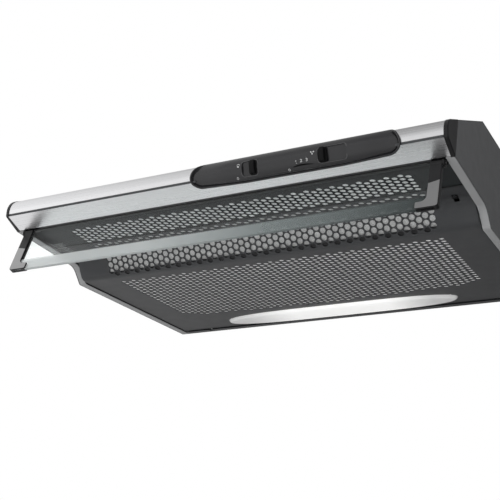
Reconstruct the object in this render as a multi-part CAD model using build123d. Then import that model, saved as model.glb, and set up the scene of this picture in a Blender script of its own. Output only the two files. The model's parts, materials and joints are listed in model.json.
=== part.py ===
from build123d import *
import os
from math import copysign, cos, pi, radians, sin, tan

# Built-under cooker hood with a swing-out glass visor, in millimetres.
# +Z is up and the cook stands at -Y. The origin is the middle of the lower rear edge:
# the wall is the plane Y = 0 and the flat underside lies on Z = 0.

# Body
HOOD_WIDTH = 598.0
HOOD_HEIGHT = 131.0
SHEET = 0.8
FLAT_TOP_DEPTH = 308.0
FLANGE = 11.0
REAR_FLANGE = 9.0
FIT = 0.15
GAP = 0.3

# Lower edge of the side panels, an S that steps up towards the front
RISER_FOOT_DEPTH = 288.5
RISER_FOOT_RADIUS = 5.0
RISER_RUN = 18.0
RISER_TOP_HEIGHT = 21.3
RISER_TOP_RADIUS = 22.0

# Front rail and the leaning line where it meets the body
SPLIT_DEPTH = 431.5
SPLIT_HEIGHT = 31.0
SPLIT_TOP_HEIGHT = 82.0
SPLIT_LEAN = 17.4
RAIL_SHEET = 1.2
NOSE_REACH = 25.0
NOSE_RADIUS = 22.0
CREASE_RADIUS = 3.0
RAIL_UNDER_ANGLE = 26.6
RAIL_RETURN = 8.0
GROOVE_RADIUS = 1.5
GROOVE_DEPTH = 0.8
CAP_THICKNESS = 5.0
CAP_WALL = 2.0
CAP_PROUD = 0.5
CAP_EDGE = 0.8
BEAM_SHEET = 1.2
BEAM_FLANGE = 16.0

# Control bezel, an arched insert in the rail
BEZEL_CENTRE_X = 115.5
BEZEL_LENGTH = 263.0
BEZEL_ARCH_BACK = 14.5
BEZEL_ARCH_RISE = 8.9
BEZEL_RADIUS = 17.9
BEZEL_RIM_HEIGHT = 1.2
BEZEL_RIM_WIDTH = 2.4
BEZEL_SKIN = 2.0
BEZEL_LAP = 2.6
BEZEL_DROP = 8.5
BEZEL_TOP_RISE = 31.5
BEZEL_END_RISE = 0.5
BEZEL_END_RADIUS = 9.0
BEZEL_SHOULDER_X = 14.0
BEZEL_SHOULDER_DROP = 6.5
BEZEL_TAPER_X = 70.0
POCKET_DEPTH = 7.5
POCKET_DROP = 3.0
POCKET_HEIGHT = 16.5
POCKET_WALL = 1.6
LIGHT_POCKET_X = 54.0
LIGHT_POCKET_WIDTH = 20.0
SPEED_POCKET_X = 150.0
SPEED_POCKET_WIDTH = 34.0
KNOB_WIDTH = 11.0
KNOB_BASE = 3.0
FIN_WIDTH = 4.2
KNOB_PROUD = 2.2
STEM_WIDTH = 5.0
STEM_HEIGHT = 3.6
STEM_LENGTH = 6.0
SWITCH_DEPTH = 11.0
SWITCH_HEIGHT = 14.0

# Visor
VISOR_PIVOT_BACK = 2.5
VISOR_PIVOT_DROP = 4.5
VISOR_LEAN = 20.3
VISOR_LENGTH = 63.5
VISOR_HALF_WIDTH = 284.4
ARM_WIDTH = 13.4
ARM_THICKNESS = 7.0
FOOT_WIDTH = 25.4
FOOT_HEIGHT = 9.0
FOOT_RADIUS = 7.0
KNUCKLE_RADIUS = 4.3
PIN_RADIUS = 2.0
PIN_HEAD = 1.0
PIN_CLEARANCE = 0.05
GLASS_THICKNESS = 4.0
GLASS_TOP = 1.5
GLASS_NOTCH = 7.0
GLASS_BITE = 10.0
GLASS_SLOT_CLEARANCE = 0.15
BRACKET_SHEET = 2.0
BRACKET_EYE_RADIUS = 4.6
BRACKET_FOOT = 14.0

# Front grille, the fixed perforated strip behind the visor
STRIP_SETBACK = 5.5
STRIP_RISE = 5.6
STRIP_LENGTH = 80.0
STRIP_FALL = 5.6
STRIP_EDGE = 3.5
SEAM = 3.0

# Main grille, the perforated door
DOOR_SIDE_CLEARANCE = 0.8
DOOR_BEND_RADIUS = 6.0
DOOR_FOOT_SETBACK = 11.0
DOOR_FOOT_RADIUS = 5.0
DOOR_RISER_ANGLE = 62.0
DOOR_Z = 1.5
DOOR_LIP = 10.0
DOOR_LIP_BEND = 1.2
DOOR_REAR_CLEARANCE = 2.0
DOOR_HINGE_BACK = 5.4
DOOR_HINGE_UP = 3.0
DOOR_HINGE_X = 240.0
DOOR_PIN_RADIUS = 1.5
DOOR_EYE_RADIUS = 2.7
DOOR_TAB = 1.5
HINGE_SHEET = 1.5
HINGE_FOOT = 14.0
HINGE_FOOT_HEIGHT = 16.0

# Perforation of the riser: staggered rows of hexagonal holes
HOLE_COLUMN_STEP = 16.65
HOLE_ROW_STEP = 4.7
HOLE_WIDTH = 7.6
HOLE_ROWS = 3
HOLE_COLUMNS = 28
HOLE_FIRST_ROW = 7.1

# Grease filter and the rods that hold it down
FILTER_THICKNESS = 3.0
FILTER_HALF_WIDTH = 250.0
FILTER_REAR = 80.0
ROD_RADIUS = 1.5
ROD_DEPTHS = (110.0, 240.0)

# Door latches
LATCH_X = 267.0
LATCH_WIDTH = 14.0
LATCH_BODY = 22.0
LATCH_THICKNESS = 2.6
LATCH_TONGUE = 2.2
LATCH_NUB = 6.0
LATCH_NUB_DROP = 3.4
LATCH_NUB_SET = 15.0
LATCH_TRAVEL = 8.0
GUIDE_WALL = 1.2
GUIDE_LENGTH = 8.0
GUIDE_SET = 2.5

# Lamp
LENS_HALF_LENGTH = 186.0
LENS_CENTRE_DEPTH = 42.5
LENS_HALF_WIDTH = 25.0
LENS_SQUARENESS = 0.42
LENS_FLATS = 32
LENS_DROP = 4.5
LENS_WALL = 2.0
LENS_LAP = 3.0
REFLECTOR_TOP_Z = 45.0
REFLECTOR_SHEET = 0.8
BULB_RADIUS = 12.5
BULB_LENGTH = 96.0
BULB_Z = 26.0
HOLDER_LENGTH = 26.0
HOLDER_WIDTH = 24.0

REFLECTOR_X = 20.0
REFLECTOR_LENGTH = 300.0
REFLECTOR_FRONT = 72.0
REFLECTOR_FRONT_Z = 14.0
REFLECTOR_SHOULDER = 62.0
REFLECTOR_TAB = 14.0
BULB_CENTRE_X = 20.0
CAP_BULB_RADIUS = 7.0
CAP_BULB_LENGTH = 14.0
LENS_TRAY_DEPTH = 2.4
LENS_CUT_CLEARANCE = 0.3

# Blower
WHEEL_X = -150.0
WHEEL_Y = -142.0
WHEEL_RADIUS = 75.0
WHEEL_BORE = 61.0
WHEEL_BOTTOM_Z = 55.0
WHEEL_HEIGHT = 43.0
WHEEL_DISC = 2.0
WHEEL_FLATS = 30
BLADES = 20
BLADE_THICKNESS = 1.2
SCROLL_BOTTOM_Z = 50.0
SCROLL_WALL = 2.0
SCROLL_FLAT = 15
SCROLL_START = 86.0
INLET_RADIUS = 66.0
TOP_PLATE = 2.0
TOP_PLATE_GAP = 2.0
MOTOR_RADIUS = 44.0
MOTOR_HEIGHT = 20.0
SHAFT_RADIUS = 4.0
EAR_RADIUS = 8.0
EAR_ROOT = 16.0
EAR_REACH = 6.0
WELL_EAR_ANGLE = 20.0
BOSS_RADIUS = 5.0

# Outlet
OUTLET_X = 0.0
OUTLET_Y = -88.0
SPIGOT_RADIUS = 59.4
SPIGOT_WALL = 2.0
SPIGOT_HEIGHT = 30.0
SPIGOT_FLANGE = 8.0
SPIGOT_NECK = 0.5
DUCT_STOP = 2.0
NECK_FLATS = 36
SEAT_WIDTH = 4.0
FLAP_THICKNESS = 1.2
FLAP_RISE = 14.0
FLAP_CLEARANCE = 0.8
FLAP_HINGE_X = 4.5
FLAP_KNUCKLE = 2.4
FLAP_PIN = 1.2
SEAT_THICKNESS = 2.0
LUG_SET = 3.0
LUG_LENGTH = 4.0
LUG_CLEARANCE = 1.6

# Fixing holes
CABINET_SPAN_X = 520.0
CABINET_SPAN_Y = 200.0
CABINET_CENTRE_Y = -150.0
CABINET_HOLE = 2.5
WALL_SPAN_X = 440.0
WALL_HOLE_Z = 100.0
WALL_HOLE = 3.0

# Electrical parts
BOX_X = 165.0
BOX_Y = -75.0
BOX_LENGTH = 70.0
BOX_WIDTH = 60.0
BOX_HEIGHT = 32.0
GLAND_RADIUS = 8.0
GLAND_BORE = 3.6
GLAND_NUT = 11.0
GLAND_RISE = 12.0
CAPACITOR_SIZE = (50.0, 22.0, 30.0)
CAPACITOR_X = 60.0
CAPACITOR_Y = -215.0

HALF = HOOD_WIDTH / 2
INNER_HALF = HALF - SHEET
LIP_HALF = HALF - FLANGE
ROOF_Z = HOOD_HEIGHT - SHEET
LEAN = tan(radians(SPLIT_LEAN))
SPLIT_TOP_DEPTH = SPLIT_DEPTH - (SPLIT_TOP_HEIGHT - SPLIT_HEIGHT) * LEAN
SLOPE = (HOOD_HEIGHT - SPLIT_TOP_HEIGHT) / (SPLIT_TOP_DEPTH - FLAT_TOP_DEPTH)
SLOPE_COS = 1 / (1 + SLOPE**2) ** 0.5
SLOPE_DROP = SHEET / SLOPE_COS
RISER_TOP_DEPTH = RISER_FOOT_DEPTH + RISER_RUN
NOSE_DEPTH = SPLIT_DEPTH + NOSE_REACH
CREASE_Z = SPLIT_HEIGHT + NOSE_REACH * tan(radians(RAIL_UNDER_ANGLE))
BEZEL_ARCH_Y = -NOSE_DEPTH + BEZEL_ARCH_BACK
BEZEL_ARCH_Z = CREASE_Z + BEZEL_ARCH_RISE
BEZEL_BOTTOM_Z = CREASE_Z - BEZEL_DROP
BEZEL_SHOULDER_Z = CREASE_Z - BEZEL_SHOULDER_DROP
BEZEL_END_Z = CREASE_Z + BEZEL_END_RISE
BEZEL_TOP_Z = CREASE_Z + BEZEL_TOP_RISE
POCKET_FLOOR_Y = -NOSE_DEPTH + POCKET_DEPTH
POCKET_BOTTOM_Z = CREASE_Z - POCKET_DROP
VISOR_PIVOT_Y = -SPLIT_DEPTH + VISOR_PIVOT_BACK
VISOR_PIVOT_Z = SPLIT_HEIGHT - VISOR_PIVOT_DROP
STRIP_FRONT_DEPTH = SPLIT_DEPTH - STRIP_SETBACK
STRIP_FRONT_Z = SPLIT_HEIGHT + STRIP_RISE
STRIP_REAR_DEPTH = STRIP_FRONT_DEPTH - STRIP_LENGTH
STRIP_REAR_Z = STRIP_FRONT_Z - STRIP_FALL
DOOR_FOOT_DEPTH = RISER_FOOT_DEPTH + DOOR_FOOT_SETBACK
RAIL_BACK = RAIL_SHEET / cos(radians(SPLIT_LEAN))
RAIL_HALF = HALF - CAP_THICKNESS
DOOR_HALF = LIP_HALF - DOOR_SIDE_CLEARANCE
DOOR_FRONT = STRIP_REAR_DEPTH - SEAM
DOOR_REAR = SHEET + REAR_FLANGE + DOOR_REAR_CLEARANCE
DOOR_RISE = STRIP_REAR_Z - DOOR_Z
DOOR_BEND_DEPTH = DOOR_FOOT_DEPTH + DOOR_RISE / tan(radians(DOOR_RISER_ANGLE))
DOOR_AXIS_Y = -DOOR_HINGE_BACK
DOOR_AXIS_Z = SHEET + DOOR_HINGE_UP
COVER_Z = WHEEL_BOTTOM_Z + WHEEL_HEIGHT + TOP_PLATE_GAP
FLAP_Z = HOOD_HEIGHT + FLAP_RISE
SCROLL_STEP = (OUTLET_Y + SPIGOT_RADIUS + SCROLL_WALL - WHEEL_Y - SCROLL_START) / 3
STRIP_TILT = (STRIP_FRONT_Z - STRIP_REAR_Z) / (STRIP_FRONT_DEPTH - STRIP_REAR_DEPTH)


def prism(face, x_low, x_high):
    """A face drawn in Y and Z, swept from one X to another."""
    return extrude(Plane.YZ.offset(x_low) * face, x_high - x_low)


def block(low, high):
    """A box between two corners."""
    size = [b - a for a, b in zip(low, high)]
    return Pos(*low) * Box(*size, align=(Align.MIN, Align.MIN, Align.MIN))


def rod(start, axis, radius, length):
    """A round bar from a point along an axis."""
    return extrude(Plane(start, z_dir=axis) * Circle(radius), length)


def flat_rod(start, axis, radius, length, sides=6):
    """A bar with flat sides from a point along an axis, within a radius."""
    return extrude(Plane(start, z_dir=axis) * RegularPolygon(radius, sides), length)


def folded(corners, radii, thickness):
    """The section of a folded sheet: a bent line of corners, thickened to its left."""
    line = FilletPolyline(*corners, radius=radii)
    return make_face(offset(line, thickness, side=Side.LEFT, closed=True).edges())


def split_corner(lowered, back):
    """Where the leaning split line, moved back, meets the sloping roof, lowered."""
    rise = SLOPE * (-SPLIT_DEPTH + back - SPLIT_HEIGHT * LEAN + FLAT_TOP_DEPTH)
    z = (HOOD_HEIGHT + rise - lowered) / (1 - SLOPE * LEAN)
    return (-SPLIT_DEPTH + back + (z - SPLIT_HEIGHT) * LEAN, z)


def split_point(z, back):
    """A point of the leaning split line at a height, moved back."""
    return (-SPLIT_DEPTH + back + (z - SPLIT_HEIGHT) * LEAN, z)


def mirrored(part):
    """The same piece for the other end of the hood."""
    return mirror(part, Plane.YZ)


def strip_z(depth):
    """Height of the fixed strip's lower face at a depth from the wall."""
    share = (depth - STRIP_REAR_DEPTH) / (STRIP_FRONT_DEPTH - STRIP_REAR_DEPTH)
    return STRIP_REAR_Z + share * (STRIP_FRONT_Z - STRIP_REAR_Z)


def side_outline():
    """The side panel's outline in Y and Z, inside the roof and rear sheets."""
    inner_knee = -FLAT_TOP_DEPTH + (SLOPE_DROP - SHEET) / SLOPE
    lower = FilletPolyline(
        (-SHEET, 0),
        (-RISER_FOOT_DEPTH, 0),
        (-RISER_TOP_DEPTH, RISER_TOP_HEIGHT),
        (-SPLIT_DEPTH, SPLIT_HEIGHT),
        radius=[RISER_FOOT_RADIUS, RISER_TOP_RADIUS],
    )
    upper = Polyline(
        (-SPLIT_DEPTH, SPLIT_HEIGHT),
        split_corner(SLOPE_DROP, 0),
        (inner_knee, ROOF_Z),
        (-SHEET, ROOF_Z),
        (-SHEET, 0),
    )
    outline = make_face(lower.edges() + upper.edges())
    knee = outline.vertices().sort_by_distance(Vector(inner_knee, ROOF_Z))[0]
    return fillet(knee, SHEET)


def side_panel():
    """Right side panel: a flat wall with a narrow flange turned in all round."""
    outline = side_outline()
    rim = outline - offset(outline, -SHEET)
    return prism(outline, INNER_HALF, HALF) + prism(rim, LIP_HALF, INNER_HALF)


def canopy_sheet():
    """Roof folded down into the sloping front, with the outlet and fixing holes."""
    section = folded(
        [(0, HOOD_HEIGHT), (-FLAT_TOP_DEPTH, HOOD_HEIGHT), split_corner(0, 0)],
        [2 * SHEET],
        SHEET,
    )
    roof = prism(section, -HALF, HALF)
    roof -= rod((OUTLET_X, OUTLET_Y, ROOF_Z - SHEET), (0, 0, 1), SPIGOT_RADIUS + GAP, 3 * SHEET)
    for x in (-CABINET_SPAN_X / 2, CABINET_SPAN_X / 2):
        for dy in (-CABINET_SPAN_Y / 2, CABINET_SPAN_Y / 2):
            start = (x, CABINET_CENTRE_Y + dy, ROOF_Z - SHEET)
            roof -= rod(start, (0, 0, 1), CABINET_HOLE, 3 * SHEET)
    gland = (BOX_X + BOX_LENGTH / 2, BOX_Y + BOX_WIDTH / 2, ROOF_Z - SHEET)
    return roof - flat_rod(gland, (0, 0, 1), GLAND_RADIUS + FIT, 3 * SHEET)


def rear_panel():
    """Rear wall with a flange, notched for the door's tabs, and two holes for wall screws."""
    wall = block((-HALF, -SHEET, 0), (HALF, 0, ROOF_Z))
    wall += block((-LIP_HALF, -SHEET - REAR_FLANGE, 0), (LIP_HALF, -SHEET, SHEET))
    for x in (-WALL_SPAN_X / 2, WALL_SPAN_X / 2):
        wall -= rod((x, SHEET, WALL_HOLE_Z), (0, -1, 0), WALL_HOLE, 3 * SHEET)
    notch = block(
        (DOOR_HINGE_X - 2 * GAP, -SHEET - REAR_FLANGE - 1, -1),
        (DOOR_HINGE_X + DOOR_TAB + 2 * GAP, DOOR_AXIS_Y + DOOR_EYE_RADIUS, SHEET + 1),
    )
    return wall - notch - mirrored(notch)


def beam():
    """Folded channel behind the rail, from the roof down to the fixed strip."""
    back = RAIL_BACK
    top = split_corner(SLOPE_DROP, back)
    run = BEAM_FLANGE * SLOPE_COS
    bottom = split_point(STRIP_FRONT_Z - BEAM_SHEET - FIT, back)
    section = folded(
        [
            (top[0] + run, top[1] + run * SLOPE),
            top,
            bottom,
            (bottom[0] + BEAM_FLANGE, bottom[1] - BEAM_FLANGE * STRIP_TILT),
        ],
        [BEAM_SHEET * 1.5, BEAM_SHEET * 1.5],
        BEAM_SHEET,
    )
    return prism(section, -LIP_HALF, LIP_HALF)


def rail_corners(proud=0.0):
    """Corners of the rail's outer face, from the roof round the nose to the lower edge."""
    nose = -NOSE_DEPTH - proud
    rise = proud / SLOPE_COS
    fall = proud / cos(radians(RAIL_UNDER_ANGLE))
    crease = SPLIT_HEIGHT + (NOSE_DEPTH + proud - SPLIT_DEPTH) * tan(radians(RAIL_UNDER_ANGLE))
    top = split_corner(-rise, 0)
    brow = HOOD_HEIGHT + rise - SLOPE * (NOSE_DEPTH + proud - FLAT_TOP_DEPTH)
    return [top, (nose, brow), (nose, crease - fall), split_point(SPLIT_HEIGHT - fall, 0)]


def rail_filled(proud=0.0):
    """The whole section that the rail's outer face encloses."""
    corners = rail_corners(proud)
    front = FilletPolyline(*corners, radius=[NOSE_RADIUS + proud, CREASE_RADIUS + proud])
    return make_face(front.edges() + Line(corners[-1], corners[0]).edges())


def bezel_outline(inset=0.0):
    """The bezel's outline from the front, in X and Z: a long tray shape with round ends."""
    half = BEZEL_LENGTH / 2
    corners = [
        (-half, BEZEL_TOP_Z),
        (-half, BEZEL_END_Z),
        (-half + BEZEL_SHOULDER_X, BEZEL_SHOULDER_Z),
        (-half + BEZEL_TAPER_X, BEZEL_BOTTOM_Z),
    ]
    corners += [(-x, z) for x, z in reversed(corners)]
    round_end = BEZEL_END_RADIUS
    shape = make_face(
        FilletPolyline(
            *corners, radius=[round_end, round_end, 8 * round_end, 8 * round_end, round_end, round_end]
        ).edges()
        + Line(corners[-1], corners[0]).edges()
    )
    if inset:
        shape = offset(shape, -inset)
    return Pos(BEZEL_CENTRE_X, 0) * shape


def front_cut(outline, y_near=-NOSE_DEPTH - 20):
    """An outline drawn in X and Z, driven back along Y into the rail."""
    face = Plane((0, BEZEL_ARCH_Y, 0), x_dir=(1, 0, 0), z_dir=(0, -1, 0)) * outline
    return extrude(face, BEZEL_ARCH_Y - y_near)


def front_rail():
    """Brushed front rail: an open C round the controls, with a groove at its crease."""
    corners = rail_corners()
    low_end = split_point(SPLIT_HEIGHT + RAIL_RETURN, 0)
    top_z = corners[0][1]
    top_end = split_point(top_z - RAIL_RETURN, 0)
    section = folded(
        [top_end] + corners + [low_end],
        [RAIL_SHEET + 0.3, NOSE_RADIUS, CREASE_RADIUS, RAIL_SHEET + 0.3],
        RAIL_SHEET,
    )
    crease = corners[2]
    groove = Pos(crease[0] - GROOVE_RADIUS + GROOVE_DEPTH, crease[1] + CREASE_RADIUS) * Circle(GROOVE_RADIUS)
    rail = prism(section - groove, -RAIL_HALF, RAIL_HALF)
    return rail - front_cut(bezel_outline(BEZEL_LAP))


def end_cap():
    """Right end cap: closes the rail's end and meets the side panel's front flange."""
    outer = prism(rail_filled(CAP_PROUD), RAIL_HALF, HALF)
    outer -= prism(offset(rail_filled(CAP_PROUD), -CAP_WALL), RAIL_HALF, HALF - CAP_WALL)
    edge = outer.faces().sort_by(Axis.X)[-1].edges()
    return chamfer(edge, CAP_EDGE)


def arch(radius):
    """A bar of round section along the bezel, centred on its arch."""
    half = BEZEL_LENGTH
    return rod((BEZEL_CENTRE_X - half, BEZEL_ARCH_Y, BEZEL_ARCH_Z), (1, 0, 0), radius, 2 * half)


def pocket(x_low, width, wall, floor):
    """The block of space that a slider's pocket takes, with a wall round it."""
    low = (x_low - wall, POCKET_FLOOR_Y - 30, POCKET_BOTTOM_Z - wall)
    high = (x_low + width + wall, POCKET_FLOOR_Y + floor, POCKET_BOTTOM_Z + POCKET_HEIGHT + wall)
    return block(low, high)


def slot_middle():
    return POCKET_BOTTOM_Z + POCKET_HEIGHT / 2


def stem_slot(x_low, width, y_low, y_high, clearance):
    """The slot that a slider's stem runs in."""
    margin = (KNOB_WIDTH - STEM_WIDTH) / 2 - clearance
    half = STEM_HEIGHT / 2 + clearance
    low = (x_low + margin, y_low, slot_middle() - half)
    high = (x_low + width - margin, y_high, slot_middle() + half)
    return block(low, high)


def control_bezel():
    """Gloss insert: a raised rim round an arched face, with two slider pockets."""
    face_radius = BEZEL_RADIUS - BEZEL_RIM_HEIGHT
    ring = arch(BEZEL_RADIUS) - arch(face_radius - BEZEL_SKIN)
    bezel = ring & front_cut(bezel_outline())
    bezel -= (arch(2 * BEZEL_RADIUS) - arch(face_radius)) & front_cut(bezel_outline(BEZEL_RIM_WIDTH))
    rail_body = prism(rail_filled(FIT), BEZEL_CENTRE_X - BEZEL_LENGTH, BEZEL_CENTRE_X + BEZEL_LENGTH)
    bezel -= rail_body - front_cut(bezel_outline(BEZEL_LAP + GAP))
    for x_low, width in (
        (LIGHT_POCKET_X, LIGHT_POCKET_WIDTH),
        (SPEED_POCKET_X, SPEED_POCKET_WIDTH),
    ):
        bezel += pocket(x_low, width, POCKET_WALL, POCKET_WALL) & arch(face_radius)
        bezel -= pocket(x_low, width, 0, 0)
        bezel -= stem_slot(x_low, width, POCKET_FLOOR_Y - 1, POCKET_FLOOR_Y + 2 * POCKET_WALL, GAP)
    return bezel


def slider(x_low):
    """A slide knob: a base in the pocket, a rounded fin in front and a stem behind."""
    clear = GAP
    bottom = POCKET_BOTTOM_Z + clear
    top = POCKET_BOTTOM_Z + POCKET_HEIGHT - clear
    back = POCKET_FLOOR_Y - clear
    left = x_low + clear
    right = x_low + KNOB_WIDTH - clear
    centre = x_low + KNOB_WIDTH / 2
    knob = block((left, back - KNOB_BASE, bottom), (right, back, top))
    fin = block((centre - FIN_WIDTH / 2, back - 20, bottom), (centre + FIN_WIDTH / 2, back, top))
    knob += fin & arch(BEZEL_RADIUS + KNOB_PROUD)
    stem_low = (centre - STEM_WIDTH / 2, back, slot_middle() - STEM_HEIGHT / 2)
    stem_high = (centre + STEM_WIDTH / 2, back + STEM_LENGTH, slot_middle() + STEM_HEIGHT / 2)
    return knob + block(stem_low, stem_high)


def switch(x_low, width):
    """The switch body behind a pocket, slotted for the slider's stem."""
    front = POCKET_FLOOR_Y + POCKET_WALL
    low = (x_low, front, slot_middle() - SWITCH_HEIGHT / 2)
    high = (x_low + width, front + SWITCH_DEPTH, slot_middle() + SWITCH_HEIGHT / 2)
    body = block(low, high)
    return body - stem_slot(x_low, width, front - 1, front + STEM_LENGTH, GAP)


def visor_plane():
    """Plane of the open visor: X along the hood, Y up the glass, Z out of its front."""
    lean = radians(VISOR_LEAN)
    return Plane((0, VISOR_PIVOT_Y, VISOR_PIVOT_Z), x_dir=(1, 0, 0), z_dir=(0, -cos(lean), sin(lean)))


def visor_slab(face, thickness):
    """A face drawn in the visor's plane, thickened evenly to both sides."""
    return extrude(visor_plane() * face, thickness / 2, both=True)


def glass_face(clearance=0.0):
    """The glass: a long strip, its upper corners notched round the knuckles."""
    half = VISOR_HALF_WIDTH - ARM_WIDTH + GLASS_BITE + clearance
    neck = VISOR_HALF_WIDTH - ARM_WIDTH - GAP
    tall = Pos(0, -(GLASS_NOTCH + VISOR_LENGTH) / 2) * Rectangle(2 * half, VISOR_LENGTH - GLASS_NOTCH)
    upper = Pos(0, -(GLASS_TOP + GLASS_NOTCH) / 2) * Rectangle(2 * neck, GLASS_NOTCH - GLASS_TOP)
    return tall + upper


def visor_arm():
    """Right visor arm: an L that holds the glass's edge and lower corner."""
    outer = VISOR_HALF_WIDTH
    inner = outer - ARM_WIDTH
    toe = outer - FOOT_WIDTH
    outline = Polyline(
        (outer, 0),
        (outer, -VISOR_LENGTH),
        (toe, -VISOR_LENGTH),
        (toe, -VISOR_LENGTH + FOOT_HEIGHT),
        (inner, -VISOR_LENGTH + FOOT_HEIGHT),
        (inner, 0),
        close=True,
    )
    face = make_face(outline.edges())
    elbow = face.vertices().sort_by_distance(Vector(inner, -VISOR_LENGTH + FOOT_HEIGHT))[0]
    arm = visor_slab(fillet(elbow, FOOT_RADIUS), ARM_THICKNESS)
    axis_start = (inner, VISOR_PIVOT_Y, VISOR_PIVOT_Z)
    arm += rod(axis_start, (1, 0, 0), KNUCKLE_RADIUS, ARM_WIDTH)
    arm -= rod(axis_start, (1, 0, 0), PIN_RADIUS + PIN_CLEARANCE, ARM_WIDTH)
    slot = glass_face(GLASS_SLOT_CLEARANCE) + Pos(0, -VISOR_LENGTH) * Rectangle(
        2 * (VISOR_HALF_WIDTH - ARM_WIDTH + GLASS_BITE), 2
    )
    return arm - visor_slab(slot, GLASS_THICKNESS + 2 * GLASS_SLOT_CLEARANCE)


def visor_bracket():
    """Right hinge bracket: a foot under the beam's flange and an ear down to the pivot."""
    x_low = VISOR_HALF_WIDTH + GAP
    x_high = x_low + BRACKET_SHEET
    roof = STRIP_FRONT_Z - BEAM_SHEET - FIT - BEAM_FLANGE * STRIP_TILT
    front = split_point(roof, RAIL_BACK)[0]
    rear = front + BEAM_FLANGE - 1
    pivot = (VISOR_PIVOT_Y, VISOR_PIVOT_Z)
    half = BRACKET_EYE_RADIUS
    ear = make_face(
        Polyline(
            (front + 1, roof),
            (pivot[0] - half, pivot[1] + half / 2),
            (pivot[0] - half, pivot[1] - half / 2),
            (pivot[0] - half / 2, pivot[1] - half),
            (pivot[0] + half / 2, pivot[1] - half),
            (rear, roof),
            close=True,
        ).edges()
    )
    foot = block((x_low - BRACKET_FOOT, front + 3, roof - BRACKET_SHEET), (x_low, rear, roof))
    bracket = prism(ear, x_low, x_high) + foot
    return bracket - rod((x_low - 1, *pivot), (1, 0, 0), PIN_RADIUS + PIN_CLEARANCE, 2 * BRACKET_SHEET)


def visor_pin():
    """Right hinge pin with a hexagon head outside the bracket's ear."""
    inner = VISOR_HALF_WIDTH - ARM_WIDTH + 1
    outer = VISOR_HALF_WIDTH + GAP + BRACKET_SHEET
    pin = rod((inner, VISOR_PIVOT_Y, VISOR_PIVOT_Z), (1, 0, 0), PIN_RADIUS, outer - inner)
    return pin + flat_rod((outer, VISOR_PIVOT_Y, VISOR_PIVOT_Z), (1, 0, 0), PIN_RADIUS + PIN_HEAD, PIN_HEAD)


def front_grille():
    """Fixed strip behind the visor, standing on the side flanges on its turned-down edges."""
    edge_x = LIP_HALF + STRIP_EDGE
    front = -STRIP_FRONT_DEPTH
    rear = -STRIP_REAR_DEPTH
    sheet = make_face(
        Polyline(
            (front, STRIP_FRONT_Z),
            (rear, STRIP_REAR_Z),
            (rear, STRIP_REAR_Z + SHEET),
            (front, STRIP_FRONT_Z + SHEET),
            close=True,
        ).edges()
    )
    strip = prism(sheet, -edge_x, edge_x)
    skirt_front = front + BEAM_FLANGE + STRIP_EDGE
    flange_rise = (SPLIT_HEIGHT - RISER_TOP_HEIGHT) / (SPLIT_DEPTH - RISER_TOP_DEPTH)
    flange_top = SHEET + GAP
    foot = [
        (y, RISER_TOP_HEIGHT + flange_rise * (-y - RISER_TOP_DEPTH) + flange_top)
        for y in (rear, skirt_front)
    ]
    skirt = make_face(
        Polyline((skirt_front, strip_z(-skirt_front)), (rear, STRIP_REAR_Z), *foot, close=True).edges()
    )
    for side in (-edge_x, edge_x - SHEET):
        strip += prism(skirt, side, side + SHEET)
    return strip


def door_corners():
    """The door's outer face from its front lip, down the riser, to its rear lip."""
    front = -DOOR_FRONT
    rear = -DOOR_REAR
    return [
        (front, STRIP_REAR_Z + DOOR_LIP),
        (front, STRIP_REAR_Z),
        (-DOOR_BEND_DEPTH, STRIP_REAR_Z),
        (-DOOR_FOOT_DEPTH, DOOR_Z),
        (rear, DOOR_Z),
        (rear, DOOR_Z + DOOR_LIP),
    ]


def door_layer(low, high):
    """A layer over the door's inside, between two distances from its outer face."""
    middle = door_corners()[1:-1]
    radii = [DOOR_BEND_RADIUS, DOOR_FOOT_RADIUS]
    layer = folded(middle, radii, high)
    if low:
        layer -= folded(middle, radii, low)
    return layer


def riser_holes():
    """Staggered hexagonal holes up the riser, square to its face."""
    lean = radians(DOOR_RISER_ANGLE)
    plane = Plane(
        (0, -DOOR_FOOT_DEPTH, DOOR_Z), x_dir=(1, 0, 0), z_dir=(0, -sin(lean), -cos(lean))
    )
    holes = Sketch()
    for row in range(HOLE_ROWS):
        columns = HOLE_COLUMNS + row % 2
        y = HOLE_FIRST_ROW + row * HOLE_ROW_STEP
        for column in range(columns):
            x = (column - (columns - 1) / 2) * HOLE_COLUMN_STEP
            holes += Pos(x, y) * RegularPolygon(HOLE_WIDTH / 2, 6)
    return extrude(plane * holes, DOOR_FOOT_RADIUS / 2, both=True)


def lens_outline(grow=0.0):
    """The lens from below, in flats: long bowed sides that close in pointed round ends."""
    points = []
    for index in range(LENS_FLATS):
        angle = 2 * pi * index / LENS_FLATS
        x = copysign(abs(sin(angle)) ** LENS_SQUARENESS, sin(angle))
        points.append(((LENS_HALF_LENGTH + grow) * x, (LENS_HALF_WIDTH + grow) * cos(angle)))
    return Pos(0, -LENS_CENTRE_DEPTH) * make_face(Polyline(*points, close=True).edges())


def door_latch_slots():
    """Slots for the right latch: one through the front lip, one for its finger nub."""
    low = (LATCH_X - LATCH_WIDTH / 2 - GAP, -DOOR_FRONT - SHEET, STRIP_REAR_Z + SHEET)
    high = (
        LATCH_X + LATCH_WIDTH / 2 + GAP,
        -DOOR_FRONT + 2 * SHEET,
        STRIP_REAR_Z + SHEET + LATCH_THICKNESS + 2 * GAP,
    )
    nub_y = -DOOR_FRONT + LATCH_NUB_SET
    nub_low = (LATCH_X - LATCH_NUB / 2 - GAP, nub_y - LATCH_NUB / 2 - GAP, DOOR_Z)
    nub_high = (
        LATCH_X + LATCH_NUB / 2 + GAP,
        nub_y + LATCH_NUB / 2 + LATCH_TRAVEL + GAP,
        STRIP_REAR_Z + 2 * SHEET,
    )
    return block(low, high) + block(nub_low, nub_high)


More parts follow.
